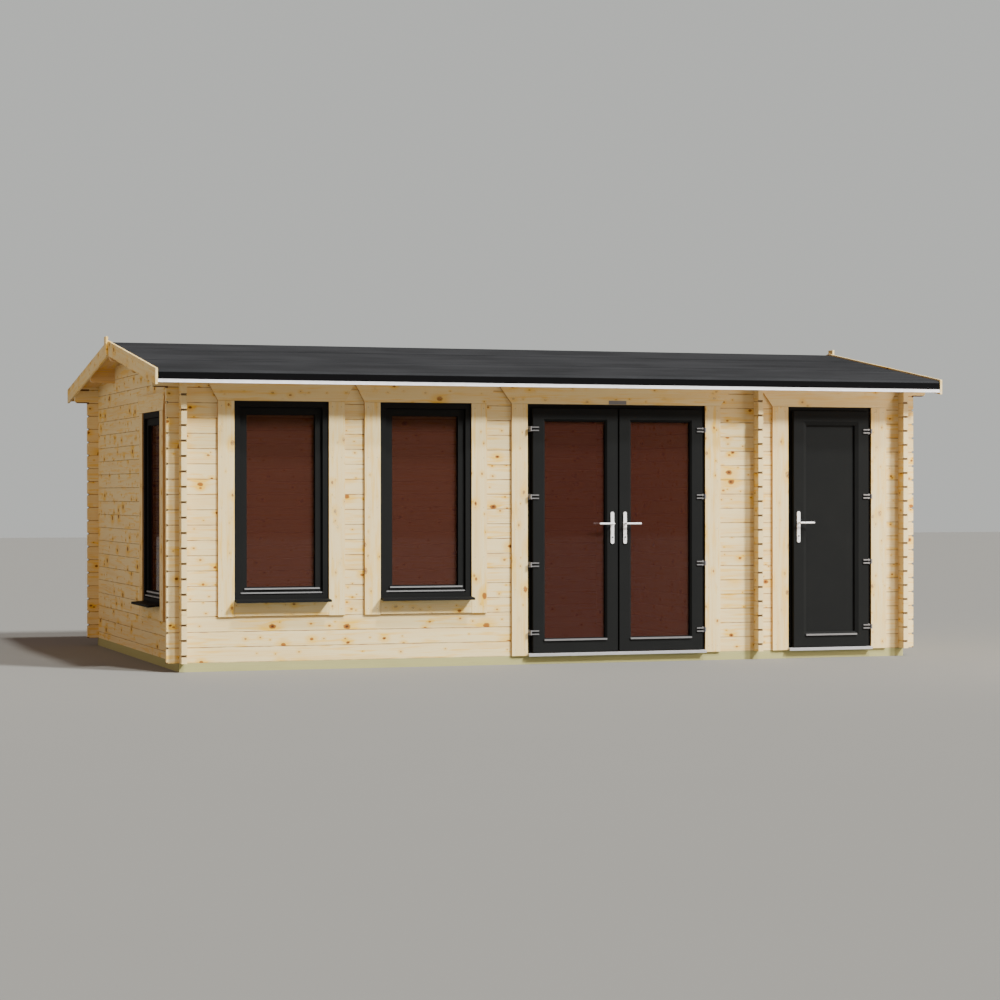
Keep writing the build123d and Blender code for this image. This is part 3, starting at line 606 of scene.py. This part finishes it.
def add_piece(name: str, points: np.ndarray, faces: np.ndarray, material: bpy.types.Material,
              smooth: bool = False) -> bpy.types.Object:
    """Put a surface into the scene.

    Args:
        name: The piece's name.
        points: Array of points by 3.
        faces: Array of faces by corner numbers.
        material: Its finish.
        smooth: Whether the faces are shaded as one curve.
    Returns:
        The object, unturned at the origin.
    """
    mesh = bpy.data.meshes.new(name)
    mesh.from_pydata(points.tolist(), [], [[int(i) for i in f] for f in faces])
    mesh.polygons.foreach_set("use_smooth", np.full(len(mesh.polygons), smooth))
    mesh.materials.append(material)
    mesh.update()
    piece = bpy.data.objects.new(name, mesh)
    bpy.context.scene.collection.objects.link(piece)
    return piece


def dress(node: str, material: bpy.types.Material, frame: dict[str, Any]) -> None:
    """Give a CAD node a material."""
    mesh = frame["nodes"][node].data
    mesh.materials.clear()
    mesh.materials.append(material)


def attach(piece: bpy.types.Object, body: str, slot: str, *nodes: str) -> None:
    """Fix a piece to a body and hide the nodes it stands for."""
    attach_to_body(piece, body)
    if nodes:
        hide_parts(*nodes)
    log.info("%s: %d faces on %s", piece.name, len(piece.data.polygons), body)


@dataclass
class Boards:
    """A set of boards that become one mesh with grain along each board."""

    name: str
    edge: float = 0.0016           # width of the planed edge
    corners: list[np.ndarray] = field(default_factory=list)
    grains: list[np.ndarray] = field(default_factory=list)

    def add(self, corners: np.ndarray, along: Sequence[float], across: Sequence[float]) -> None:
        """Add boards.

        Args:
            corners: Blocks by 8 corners by 3.
            along: Grain direction.
            across: Direction of the boards' width.
        """
        axes = np.array([along, across, np.cross(along, across)], float)
        axes = axes / np.linalg.norm(axes, axis=1, keepdims=True)
        self.corners.append(corners)
        self.grains.append(corners @ axes.T)

    def build(self, material: bpy.types.Material) -> bpy.types.Object:
        """Make the mesh, with each point's grain place and board number as attributes."""
        corners = np.concatenate(self.corners)
        grains = np.concatenate(self.grains)
        points, faces = block_faces(corners)
        edges = corners[:, [1, 3, 4]] - corners[:, :1]
        volume = np.einsum("ij,ij->i", np.cross(edges[:, 0], edges[:, 1]), edges[:, 2])
        grains = np.where((volume < 0)[:, None, None], grains[:, [0, 3, 2, 1, 4, 7, 6, 5]], grains)
        piece = add_piece(self.name, points, faces, material)
        mesh = piece.data
        number = np.repeat(np.arange(len(corners), dtype=np.float32) + len(self.name), 8)
        mesh.attributes.new("grain", "FLOAT_VECTOR", "POINT").data.foreach_set(
            "vector", grains.reshape(-1).astype(np.float32))
        mesh.attributes.new("board", "FLOAT", "POINT").data.foreach_set("value", number)
        bevel = piece.modifiers.new("planed_edge", "BEVEL")
        bevel.width = self.edge
        bevel.segments = 2
        bevel.limit_method = "ANGLE"
        return piece


@dataclass(frozen=True)
class Wall:
    """An outer wall face that openings lie in: points are right along it, out from it and up."""

    origin: tuple[float, float, float]
    right: tuple[float, float, float]
    out: tuple[float, float, float]

    def points(self, local: np.ndarray) -> np.ndarray:
        """Turn right, out and up values into the cabin's coordinates."""
        axes = np.array([self.right, self.out, (0.0, 0.0, 1.0)])
        return np.array(self.origin) + local @ axes


@dataclass(frozen=True)
class Opening:
    """A framed window or door in a wall."""

    wall: Wall
    left: float
    right: float
    bottom: float
    top: float


@dataclass
class Casing:
    """The boards round an opening."""

    board: float
    ear: float
    drop: float = 0.0
    head: float = 0.145
    thick: float = 0.020
    seam: float = 0.001

    def outline(self, opening: Opening) -> list[tuple[np.ndarray, bool]]:
        """Corner values (right and up) of each board and whether its grain is upright."""
        x0, x1, z0, z1 = opening.left, opening.right, opening.bottom, opening.top
        wide = self.board
        low = z0 - self.drop
        top = z1 - self.seam
        sides = [
            (np.array([(x0 - wide, low), (x0, low), (x0, top), (x0 - wide, top)]), True),
            (np.array([(x1, low), (x1 + wide, low), (x1 + wide, top), (x1, top)]), True),
        ]
        high = z1 + self.head
        head = np.array([(x0 - wide, z1), (x1 + wide, z1), (x1 + wide + self.ear, high),
                         (x0 - wide - self.ear, high)])
        boards = sides + [(head, False)]
        if self.drop:
            gap = self.seam
            under = np.array([(x0 + gap, low + 0.003), (x1 - gap, low + 0.003), (x1 - gap, z0 - 0.005),
                              (x0 + gap, z0 - 0.005)])
            boards.append((under, False))
        return boards

    def add_to(self, boards: Boards, opening: Opening) -> None:
        """Add this casing's boards to a set."""
        wall = opening.wall
        for quad, upright in self.outline(opening):
            rings = []
            for out in (0.0, self.thick):
                local = np.column_stack([quad[:, 0], np.full(4, out), quad[:, 1]])
                rings.append(wall.points(local))
            along, across = ((0, 0, 1), wall.right) if upright else (wall.right, (0, 0, 1))
            boards.add(np.concatenate(rings)[None], along, across)


@dataclass(frozen=True)
class Heads:
    """Round heads of nails or screws that stand a little out of a surface."""

    radius: float = 0.003
    proud: float = 0.0006
    sides: int = 12

    def surface(self, centres: np.ndarray, out: Sequence[float]) -> tuple[np.ndarray, np.ndarray]:
        """Points and faces of the heads.

        Each head is two rings and a middle point: the wide ring lies on the surface, a ring of 0.8 of its
        radius lies at the full height, and the middle is sunk by 0.3 of the height.

        Args:
            centres: Places on the surface, one row a head.
            out: Direction out of the surface.
        Returns:
            Points and triangles.
        """
        normal = np.array(out, float)
        first = np.cross(normal, (0.0, 0.0, 1.0) if abs(normal[2]) < 0.9 else (1.0, 0.0, 0.0))
        first = first / np.linalg.norm(first)
        second = np.cross(normal, first)
        turn = np.arange(self.sides) * math.tau / self.sides
        ring = np.cos(turn)[:, None] * first + np.sin(turn)[:, None] * second
        shape = np.concatenate([ring * self.radius, ring * self.radius * 0.8 + normal * self.proud,
                                normal[None] * self.proud * 0.7])
        points = (centres[:, None, :] + shape[None]).reshape(-1, 3)
        step = np.arange(self.sides)
        after = (step + 1) % self.sides
        n = self.sides
        faces = np.concatenate([np.column_stack([step, after, after + n]), np.column_stack([step, after + n, step + n]),
                                np.column_stack([step + n, after + n, np.full(n, 2 * n)])])
        faces = faces[None] + (2 * n + 1) * np.arange(len(centres))[:, None, None]
        return points, faces.reshape(-1, 3)


@dataclass(frozen=True)
class Seal:
    """A mitred rubber ring along the edge of a pane."""

    wide: float = 0.005
    proud: float = 0.0018
    sunk: float = 0.0010

    def ring(self, low: Sequence[float], high: Sequence[float], wall: Wall) -> np.ndarray:
        """Four bars whose ends meet on the mitre.

        Args:
            low: Lower corner of the pane's face: right and up.
            high: Its upper corner.
            wall: Plane of the pane's face.
        Returns:
            Blocks by 8 corners by 3.
        """
        outer = np.array([low, (high[0], low[1]), high, (low[0], high[1])])
        inner = outer + self.wide * np.array([(1, 1), (-1, 1), (-1, -1), (1, -1)])
        after = [1, 2, 3, 0]
        quads = np.stack([outer, outer[after], inner[after], inner], axis=1)
        rings = []
        for out in (-self.sunk, self.proud):
            local = np.stack([quads[..., 0], np.full(quads.shape[:2], out), quads[..., 1]], axis=-1)
            rings.append(wall.points(local.reshape(-1, 3)).reshape(-1, 4, 3))
        return np.concatenate(rings, axis=1)


@dataclass
class LogWalls:
    """The log walls, which keep their CAD shape."""

    long: tuple[str, ...] = ("front_wall_left", "front_wall_middle", "front_wall_right", "front_wall_top",
                             "back_wall")
    cross: tuple[str, ...] = ("left_gable_wall", "partition_wall", "right_gable_wall")

    def dress(self, frame: dict[str, Any], finishes: Finishes) -> None:
        """Give the logs their grain, front and back along X and the others along Y."""
        for node in self.long:
            dress(node, finishes.front_logs, frame)
        for node in self.cross:
            dress(node, finishes.side_logs, frame)
        log.info("log walls: %d nodes", len(self.long) + len(self.cross))


@dataclass
class Joinery:
    """Windows, door frames and casings."""

    window_casing: Casing = field(default_factory=lambda: Casing(0.132, 0.079, 0.122))
    double_casing: Casing = field(default_factory=lambda: Casing(0.138, 0.106))
    store_casing: Casing = field(default_factory=lambda: Casing(0.145, 0.106))
    front: Wall = Wall((0.0, FRONT_FACE, 0.0), (1.0, 0.0, 0.0), (0.0, -1.0, 0.0))
    side: Wall = Wall((LEFT_FACE, 0.0, 0.0), (0.0, -1.0, 0.0), (-1.0, 0.0, 0.0))

    def openings(self) -> dict[str, list[Opening]]:
        """The framed openings of each casing node, from the CAD frames."""
        low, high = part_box("front_window_frames")
        side_low, side_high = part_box("side_window_frame")
        wide = side_high.y - side_low.y
        front = [Opening(self.front, x, x + wide, low.z, high.z) for x in (low.x, high.x - wide)]
        side = [Opening(self.side, -side_high.y, -side_low.y, side_low.z, side_high.z)]
        doors = []
        for node in ("double_door_frame", "single_door_frame"):
            a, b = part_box(node)
            doors.append(Opening(self.front, a.x, b.x, LOG_BASE, b.z))
        return {"front_window_casings": front, "side_window_casing": side,
                "double_door_casing": doors[:1], "single_door_casing": doors[1:]}

    def casings(self) -> dict[str, Casing]:
        """The kind of casing of each casing node."""
        return {"front_window_casings": self.window_casing, "side_window_casing": self.window_casing,
                "double_door_casing": self.double_casing, "single_door_casing": self.store_casing}

    def build(self, frame: dict[str, Any], finishes: Finishes) -> None:
        """Make the casings and dress the frames."""
        kinds = self.casings()
        for node, openings in self.openings().items():
            boards = Boards(node + "_boards")
            for opening in openings:
                kinds[node].add_to(boards, opening)
            finish = finishes.side_casing if node.startswith("side") else finishes.front_casing
            attach(boards.build(finish), "cabin", "spruce_boards", node)
        for node in ("front_window_frames", "side_window_frame", "double_door_frame", "single_door_frame",
                     "window_sills"):
            dress(node, finishes.coating, frame)
        dress("window_glass", finishes.glass, frame)
        dress("window_weather_bars", finishes.bar_metal, frame)
        dress("door_thresholds", finishes.satin, frame)
        dress("door_head_plate", finishes.zinc, frame)
        dress("door_hinge_plates", finishes.zinc, frame)


@dataclass
class Doors:
    """The three leaves with their glass, fittings and handles."""

    names: tuple[str, ...] = ("left", "right", "store")

    def build(self, frame: dict[str, Any], finishes: Finishes) -> None:
        """Dress each leaf."""
        for name in self.names:
            dress(f"{name}_leaf", finishes.leaf_coating, frame)
            dress(f"{name}_leaf_fittings", finishes.zinc, frame)
            dress(f"{name}_handle_plates", finishes.chrome, frame)
            dress(f"{name}_lever", finishes.chrome, frame)
            if f"{name}_leaf_glass" in frame["nodes"]:
                dress(f"{name}_leaf_glass", finishes.door_glass, frame)
        log.info("doors: %d leaves", len(self.names))


@dataclass
class Trim:
    """Rubber seals at the panes, and nails in the casings and barge boards."""

    seal: Seal = field(default_factory=Seal)
    nail: Heads = field(default_factory=Heads)
    screw: Heads = field(default_factory=lambda: Heads(0.0036, 0.0008))
    # A near-black disc of painted shade standing in for the keyhole.
    keyhole_shade: Heads = field(default_factory=lambda: Heads(0.0075, 0.0004, 20))
    key_height: float = 1.036

    def keyhole_shades(self, finishes: Finishes) -> None:
        """Put a near-black disc of painted shade for the keyhole on the face of each outer lock cylinder."""
        for name in ("left", "right", "store"):
            low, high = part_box(f"{name}_handle_plates")
            centre = np.array([((low.x + high.x) / 2, low.y, self.key_height)])
            points, faces = self.keyhole_shade.surface(centre, (0.0, -1.0, 0.0))
            attach(add_piece(f"{name}_lock_keyhole_shade", points, faces, finishes.seal), f"{name}_door", "dark_frame")

    def pane_seals(self, finishes: Finishes) -> None:
        """Ring every pane: three windows on the cabin and one pane on each glazed leaf."""
        low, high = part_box("front_window_frames")
        pane_low, pane_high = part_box("window_glass")
        rim = pane_high.z - high.z
        face = Wall((0.0, low.y + 0.048, 0.0), (1.0, 0.0, 0.0), (0.0, -1.0, 0.0))
        side_low, side_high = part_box("side_window_frame")
        wide = side_high.y - side_low.y
        rings = [self.seal.ring((x - rim, low.z - rim), (x + wide + rim, high.z + rim), face)
                 for x in (low.x, high.x - wide)]
        gable = Wall((pane_low.x, 0.0, 0.0), (0.0, -1.0, 0.0), (-1.0, 0.0, 0.0))
        rings.append(self.seal.ring((-side_high.y - rim, side_low.z - rim), (-side_low.y + rim, side_high.z + rim),
                                    gable))
        points, faces = block_faces(np.concatenate(rings))
        attach(add_piece("window_pane_seals", points, faces, finishes.seal), "cabin", "dark_frame")
        for name in ("left", "right"):
            low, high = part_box(f"{name}_leaf_glass")
            face = Wall((0.0, low.y, 0.0), (1.0, 0.0, 0.0), (0.0, -1.0, 0.0))
            points, faces = block_faces(self.seal.ring((low.x, low.z), (high.x, high.z), face))
            attach(add_piece(f"{name}_leaf_pane_seal", points, faces, finishes.seal), f"{name}_door", "dark_frame")

    def casing_nails(self, joinery: Joinery, finishes: Finishes) -> None:
        """Nail each upright casing board in pairs, about 0.42 m apart."""
        points = []
        faces = []
        count = 0
        casings = joinery.casings()
        for node, openings in joinery.openings().items():
            for opening in openings:
                for quad, upright in casings[node].outline(opening):
                    if not upright:
                        continue
                    low = quad.min(axis=0)
                    high = quad.max(axis=0)
                    rows = np.linspace(low[1] + 0.05, high[1] - 0.04, 5)
                    across = low[0] + (high[0] - low[0]) * np.array([0.22, 0.78])
                    grid = np.array(np.meshgrid(across, rows)).reshape(2, -1)
                    local = np.column_stack([grid[0], np.full(grid.shape[1], casings[node].thick), grid[1]])
                    found, shapes = self.nail.surface(opening.wall.points(local), opening.wall.out)
                    points.append(found)
                    faces.append(shapes + count)
                    count += len(found)
        piece = add_piece("casing_nails", np.concatenate(points), np.concatenate(faces), finishes.zinc)
        attach(piece, "cabin", "hinge_metal")

    def barge_nails(self, finishes: Finishes) -> None:
        """Nail the barge boards into the roof edge, in a row that follows each slope."""
        points = []
        faces = []
        count = 0
        for node, out in (("left_barge_boards", -1.0), ("right_barge_boards", 1.0)):
            low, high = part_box(node)
            middle = (low.y + high.y) / 2
            away = np.linspace(0.10, 0.96, 7) * (high.y - middle)
            rise = (high.z - low.z - 0.126) / (high.y - middle)
            y = np.concatenate([middle - away, middle + away])
            z = high.z - 0.035 - rise * np.abs(y - middle)
            x = np.full(len(y), low.x if out < 0 else high.x)
            found, shapes = self.nail.surface(np.column_stack([x, y, z]), (out, 0.0, 0.0))
            points.append(found)
            faces.append(shapes + count)
            count += len(found)
        piece = add_piece("barge_board_nails", np.concatenate(points), np.concatenate(faces), finishes.zinc)
        attach(piece, "cabin", "hinge_metal")

    def plate_screws(self, finishes: Finishes) -> None:
        """Screw the head plate's two ends to the wall."""
        low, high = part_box("door_head_plate")
        middle = (low.z + high.z) / 2
        centres = np.array([(low.x + 0.008, low.y, middle), (high.x - 0.008, low.y, middle)])
        points, faces = self.screw.surface(centres, (0.0, -1.0, 0.0))
        attach(add_piece("head_plate_screws", points, faces, finishes.zinc), "cabin", "hinge_metal")

    def build(self, joinery: Joinery, finishes: Finishes) -> None:
        """Make every small piece."""
        self.pane_seals(finishes)
        self.keyhole_shades(finishes)
        self.casing_nails(joinery, finishes)
        self.barge_nails(finishes)
        self.plate_screws(finishes)


@dataclass
class Roof:
    """Roof boards, felt, eaves, barge boards and purlins."""

    plank: float = 0.096
    thick: float = 0.019
    barge_deep: float = 0.126
    apex_thick: float = 0.020
    lap_at: tuple[float, ...] = (0.62, 1.42)   # level distance of each lap's lower edge from the ridge
    lap_wide: float = 0.06
    lap_high: float = 0.0030
    lap_thin: float = 0.0004
    lap_sunk: float = 0.0010

    def slope_boards(self, node: str, finishes: Finishes) -> None:
        """Lay boards from eave to ridge side by side along the roof.

        The height of the underside is a straight line in Y; its steepness follows from the node's height
        less the boards' upright thickness.
        """
        low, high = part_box(node)
        reach = high.y - low.y
        slope = (high.z - low.z - self.thick) / reach
        upright = self.thick * math.hypot(1.0, slope)
        slope = (high.z - low.z - upright) / reach
        rising = node.startswith("front")
        count = round((high.x - low.x) / self.plank)
        edges = np.linspace(low.x, high.x, count + 1)
        z_low, z_high = (low.z, low.z + slope * reach) if rising else (low.z + slope * reach, low.z)
        corners = block_corners(
            np.column_stack([edges[:-1], np.full(count, low.y), np.zeros(count)]),
            np.column_stack([edges[1:], np.full(count, high.y), np.full(count, upright)]))
        share = (corners[..., 1] - low.y) / reach
        corners[..., 2] += z_low + (z_high - z_low) * share
        boards = Boards(node + "_laid", edge=0.0022)
        tilt = slope if rising else -slope
        boards.add(corners, (0.0, 1.0, tilt), (1.0, 0.0, 0.0))
        attach(boards.build(finishes.soffit), "cabin", "spruce_boards", node)

    def barge(self, node: str, finishes: Finishes) -> None:
        """Make the two sloping boards of one gable."""
        low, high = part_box(node)
        middle = (low.y + high.y) / 2
        gap = 0.0005
        boards = Boards(node + "_sawn", edge=0.002)
        for y0, y1 in ((low.y, middle - gap), (high.y, middle + gap)):
            quad = [(y0, low.z), (y1, high.z - self.barge_deep), (y1, high.z), (y0, low.z + self.barge_deep)]
            rings = [[(x, y, z) for y, z in quad] for x in (low.x, high.x)]
            run = np.array([0.0, y1 - y0, high.z - self.barge_deep - low.z])
            boards.add(np.array(rings[0] + rings[1])[None], run, np.cross((1.0, 0.0, 0.0), run))
        attach(boards.build(finishes.boards), "cabin", "spruce_boards", node)

    def apex(self, finishes: Finishes) -> None:
        """Make the upright cover plates at the ridge."""
        low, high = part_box("apex_plates")
        boards = Boards("apex_cover_boards", edge=0.003)
        for x0 in (low.x, high.x - self.apex_thick):
            boards.add(block_corners(np.array([x0, low.y, low.z]), np.array([x0 + self.apex_thick, high.y, high.z])),
                       (0.0, 0.0, 1.0), (0.0, 1.0, 0.0))
        attach(boards.build(finishes.boards), "cabin", "spruce_boards", "apex_plates")

    def laps(self, finishes: Finishes) -> None:
        """Make the edges of the overlapping felt sheets, which run along each slope.

        The felt's top surface falls from its highest line at the ridge by the roof's slope. A lap is a wedge
        on it, as high as a doubled sheet at its lower edge and thinning out up the slope.
        """
        low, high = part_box("roof_felt")
        board_low, board_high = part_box("front_roof_boards")
        reach = board_high.y - board_low.y
        slope = (board_high.z - board_low.z - self.thick) / reach
        slope = (board_high.z - board_low.z - self.thick * math.hypot(1.0, slope)) / reach
        blocks = []
        for side in (-1.0, 1.0):
            for away in self.lap_at:
                outer = np.array([away, away, away - self.lap_wide, away - self.lap_wide])
                lift = np.array([-self.lap_sunk, self.lap_high, self.lap_thin, -self.lap_sunk])
                z = high.z - slope * outer + lift
                rings = [np.column_stack([np.full(4, x), side * outer, z])
                         for x in (low.x + self.lap_sunk, high.x - self.lap_sunk)]
                blocks.append(np.concatenate(rings))
        points, faces = block_faces(np.array(blocks))
        attach(add_piece("roof_felt_laps", points, faces, finishes.felt), "cabin", "roof_felt")

    def build(self, frame: dict[str, Any], finishes: Finishes) -> None:
        """Make every roof piece."""
        self.laps(finishes)
        for node in ("front_roof_boards", "back_roof_boards"):
            self.slope_boards(node, finishes)
        for node in ("left_barge_boards", "right_barge_boards"):
            self.barge(node, finishes)
        self.apex(finishes)
        dress("roof_felt", finishes.felt, frame)
        dress("eave_drip_trims", finishes.trim, frame)
        dress("eave_boards", finishes.fascia, frame)
        dress("purlins", finishes.purlins, frame)


@dataclass
class GroundFrame:
    """Bearers and the boarded floors."""

    plank: float = 0.112

    def build(self, frame: dict[str, Any], finishes: Finishes) -> None:
        """Dress the bearers and lay the floor boards along X in both rooms."""
        for node in ("long_bearers", "cross_bearers"):
            dress(node, finishes.bearers, frame)
        low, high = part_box("floor_boards")
        wall_low, wall_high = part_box("partition_wall")
        boards = Boards("laid_floor_boards")
        count = round((high.y - low.y) / self.plank)
        edges = np.linspace(low.y, high.y, count + 1)
        for x0, x1 in ((low.x, wall_low.x), (wall_high.x, high.x)):
            corners = block_corners(
                np.column_stack([np.full(count, x0), edges[:-1], np.full(count, low.z)]),
                np.column_stack([np.full(count, x1), edges[1:], np.full(count, high.z)]))
            boards.add(corners, (1.0, 0.0, 0.0), (0.0, 1.0, 0.0))
        attach(boards.build(finishes.soffit), "cabin", "spruce_boards", "floor_boards")


@dataclass(frozen=True)
class Softbox:
    """A rectangular soft lamp: where it stands, what it faces, its size and its power."""

    at: tuple[float, float, float]
    aim: tuple[float, float, float]
    wide: float
    high: float
    watts: float
    colour: Colour = (1.0, 0.84, 0.72)


@dataclass
class Studio:
    """Floor, lights and the camera."""

    camera_at: tuple[float, float, float] = (-7.0709, -21.525, 1.3955)
    yaw: float = 0.3229            # to the right of straight at the front wall
    pitch: float = -0.0025
    roll: float = -0.0007
    focal_share: float = 2.54037   # focal length over image width
    sun_path: tuple[float, float, float] = (-0.86, 1.0, -1.05)
    second_path: tuple[float, float, float] = (-0.35, 1.0, -1.9)
    high_path: tuple[float, float, float] = (0.22, 0.35, -1.0)
    right_box: Softbox = Softbox((6.0, -5.0, 1.3), (2.9, -1.9, 1.9), 2.5, 1.6, 150.0)
    left_box: Softbox = Softbox((-9.5, -0.6, 2.4), (-3.15, 0.0, 1.3), 4.0, 3.0, 76.0)

    def floor(self) -> None:
        """Lay a plain pale floor."""
        points = np.array([(-60.0, -60.0, 0.0), (60.0, -60.0, 0.0), (60.0, 60.0, 0.0), (-60.0, 60.0, 0.0)])
        finish = Plain("pale_floor", (0.205, 0.206, 0.194)).build()
        floor = add_piece("studio_floor", points, np.array([[0, 1, 2, 3]]), finish)

    def sun(self, name: str, path: Sequence[float], strength: float, angle: float, colour: Colour) -> None:
        """Add a far lamp whose light travels along a path."""
        lamp = bpy.data.lights.new(name, "SUN")
        lamp.energy = strength
        lamp.angle = math.radians(angle)
        lamp.color = colour
        holder = bpy.data.objects.new(name, lamp)
        holder.rotation_euler = Vector(path).to_track_quat("-Z", "Y").to_euler()
        bpy.context.scene.collection.objects.link(holder)

    def softbox(self, name: str, box: "Softbox") -> None:
        """Stand a soft lamp beside the cabin."""
        lamp = bpy.data.lights.new(name, "AREA")
        lamp.shape = "RECTANGLE"
        lamp.size = box.wide
        lamp.size_y = box.high
        lamp.energy = box.watts
        lamp.color = box.colour
        holder = bpy.data.objects.new(name, lamp)
        holder.location = box.at
        aim = Vector(box.aim) - Vector(box.at)
        holder.rotation_euler = aim.to_track_quat("-Z", "Y").to_euler()
        bpy.context.scene.collection.objects.link(holder)

    def sky(self) -> None:
        """Fill the shade with even light, and show a plain pale backdrop."""
        world = bpy.data.worlds.new("studio_sky")
        world.use_nodes = True
        tree = world.node_tree
        tree.nodes.clear()
        fill = tree.nodes.new("ShaderNodeBackground")
        fill.inputs[0].default_value = (1.0, 0.76, 0.65, 1.0)
        fill.inputs[1].default_value = 0.105
        backdrop = tree.nodes.new("ShaderNodeBackground")
        backdrop.inputs[0].default_value = (0.56, 0.57, 0.55, 1.0)
        view = tree.nodes.new("ShaderNodeLightPath")
        either = tree.nodes.new("ShaderNodeMixShader")
        output = tree.nodes.new("ShaderNodeOutputWorld")
        tree.links.new(view.outputs["Is Camera Ray"], either.inputs[0])
        tree.links.new(fill.outputs[0], either.inputs[1])
        tree.links.new(backdrop.outputs[0], either.inputs[2])
        tree.links.new(either.outputs[0], output.inputs[0])
        bpy.context.scene.world = world

    def camera(self) -> None:
        """Stand the camera where the photograph was taken from."""
        lens = bpy.data.cameras.new("camera")
        lens.sensor_width = 36.0
        lens.lens = 36.0 * self.focal_share
        lens.clip_end = 200.0
        ahead = Vector((math.sin(self.yaw) * math.cos(self.pitch), math.cos(self.yaw) * math.cos(self.pitch),
                        math.sin(self.pitch)))
        side = ahead.cross(Vector((0.0, 0.0, 1.0))).normalized()
        up = side.cross(ahead)
        turn = Matrix.Rotation(-self.roll, 3, ahead)
        side = turn @ side
        up = turn @ up
        holder = bpy.data.objects.new("camera", lens)
        basis = Matrix((side, up, -ahead)).transposed().to_4x4()
        holder.matrix_world = Matrix.Translation(self.camera_at) @ basis
        bpy.context.scene.collection.objects.link(holder)
        bpy.context.scene.camera = holder

    def build(self) -> None:
        """Make the whole studio."""
        self.floor()
        self.sun("key_lamp", self.sun_path, 6.1, 8.0, (0.99, 1.0, 0.98))
        self.sun("high_lamp", self.second_path, 2.7, 4.0, (1.0, 1.0, 0.98))
        self.sun("overhead_softbox", self.high_path, 0.95, 120.0, (1.0, 0.75, 0.64))
        self.softbox("right_softbox", self.right_box)
        self.softbox("left_softbox", self.left_box)
        self.sky()
        self.camera()


def main() -> None:
    """Build the cabin's looks in order."""
    logging.basicConfig(level=logging.INFO, format="%(message)s")
    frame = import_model()
    finishes = Finishes.make()
    LogWalls().dress(frame, finishes)
    joinery = Joinery()
    joinery.build(frame, finishes)
    Doors().build(frame, finishes)
    Trim().build(joinery, finishes)
    Roof().build(frame, finishes)
    GroundFrame().build(frame, finishes)
    Studio().build()


if __name__ == "__main__":
    main()
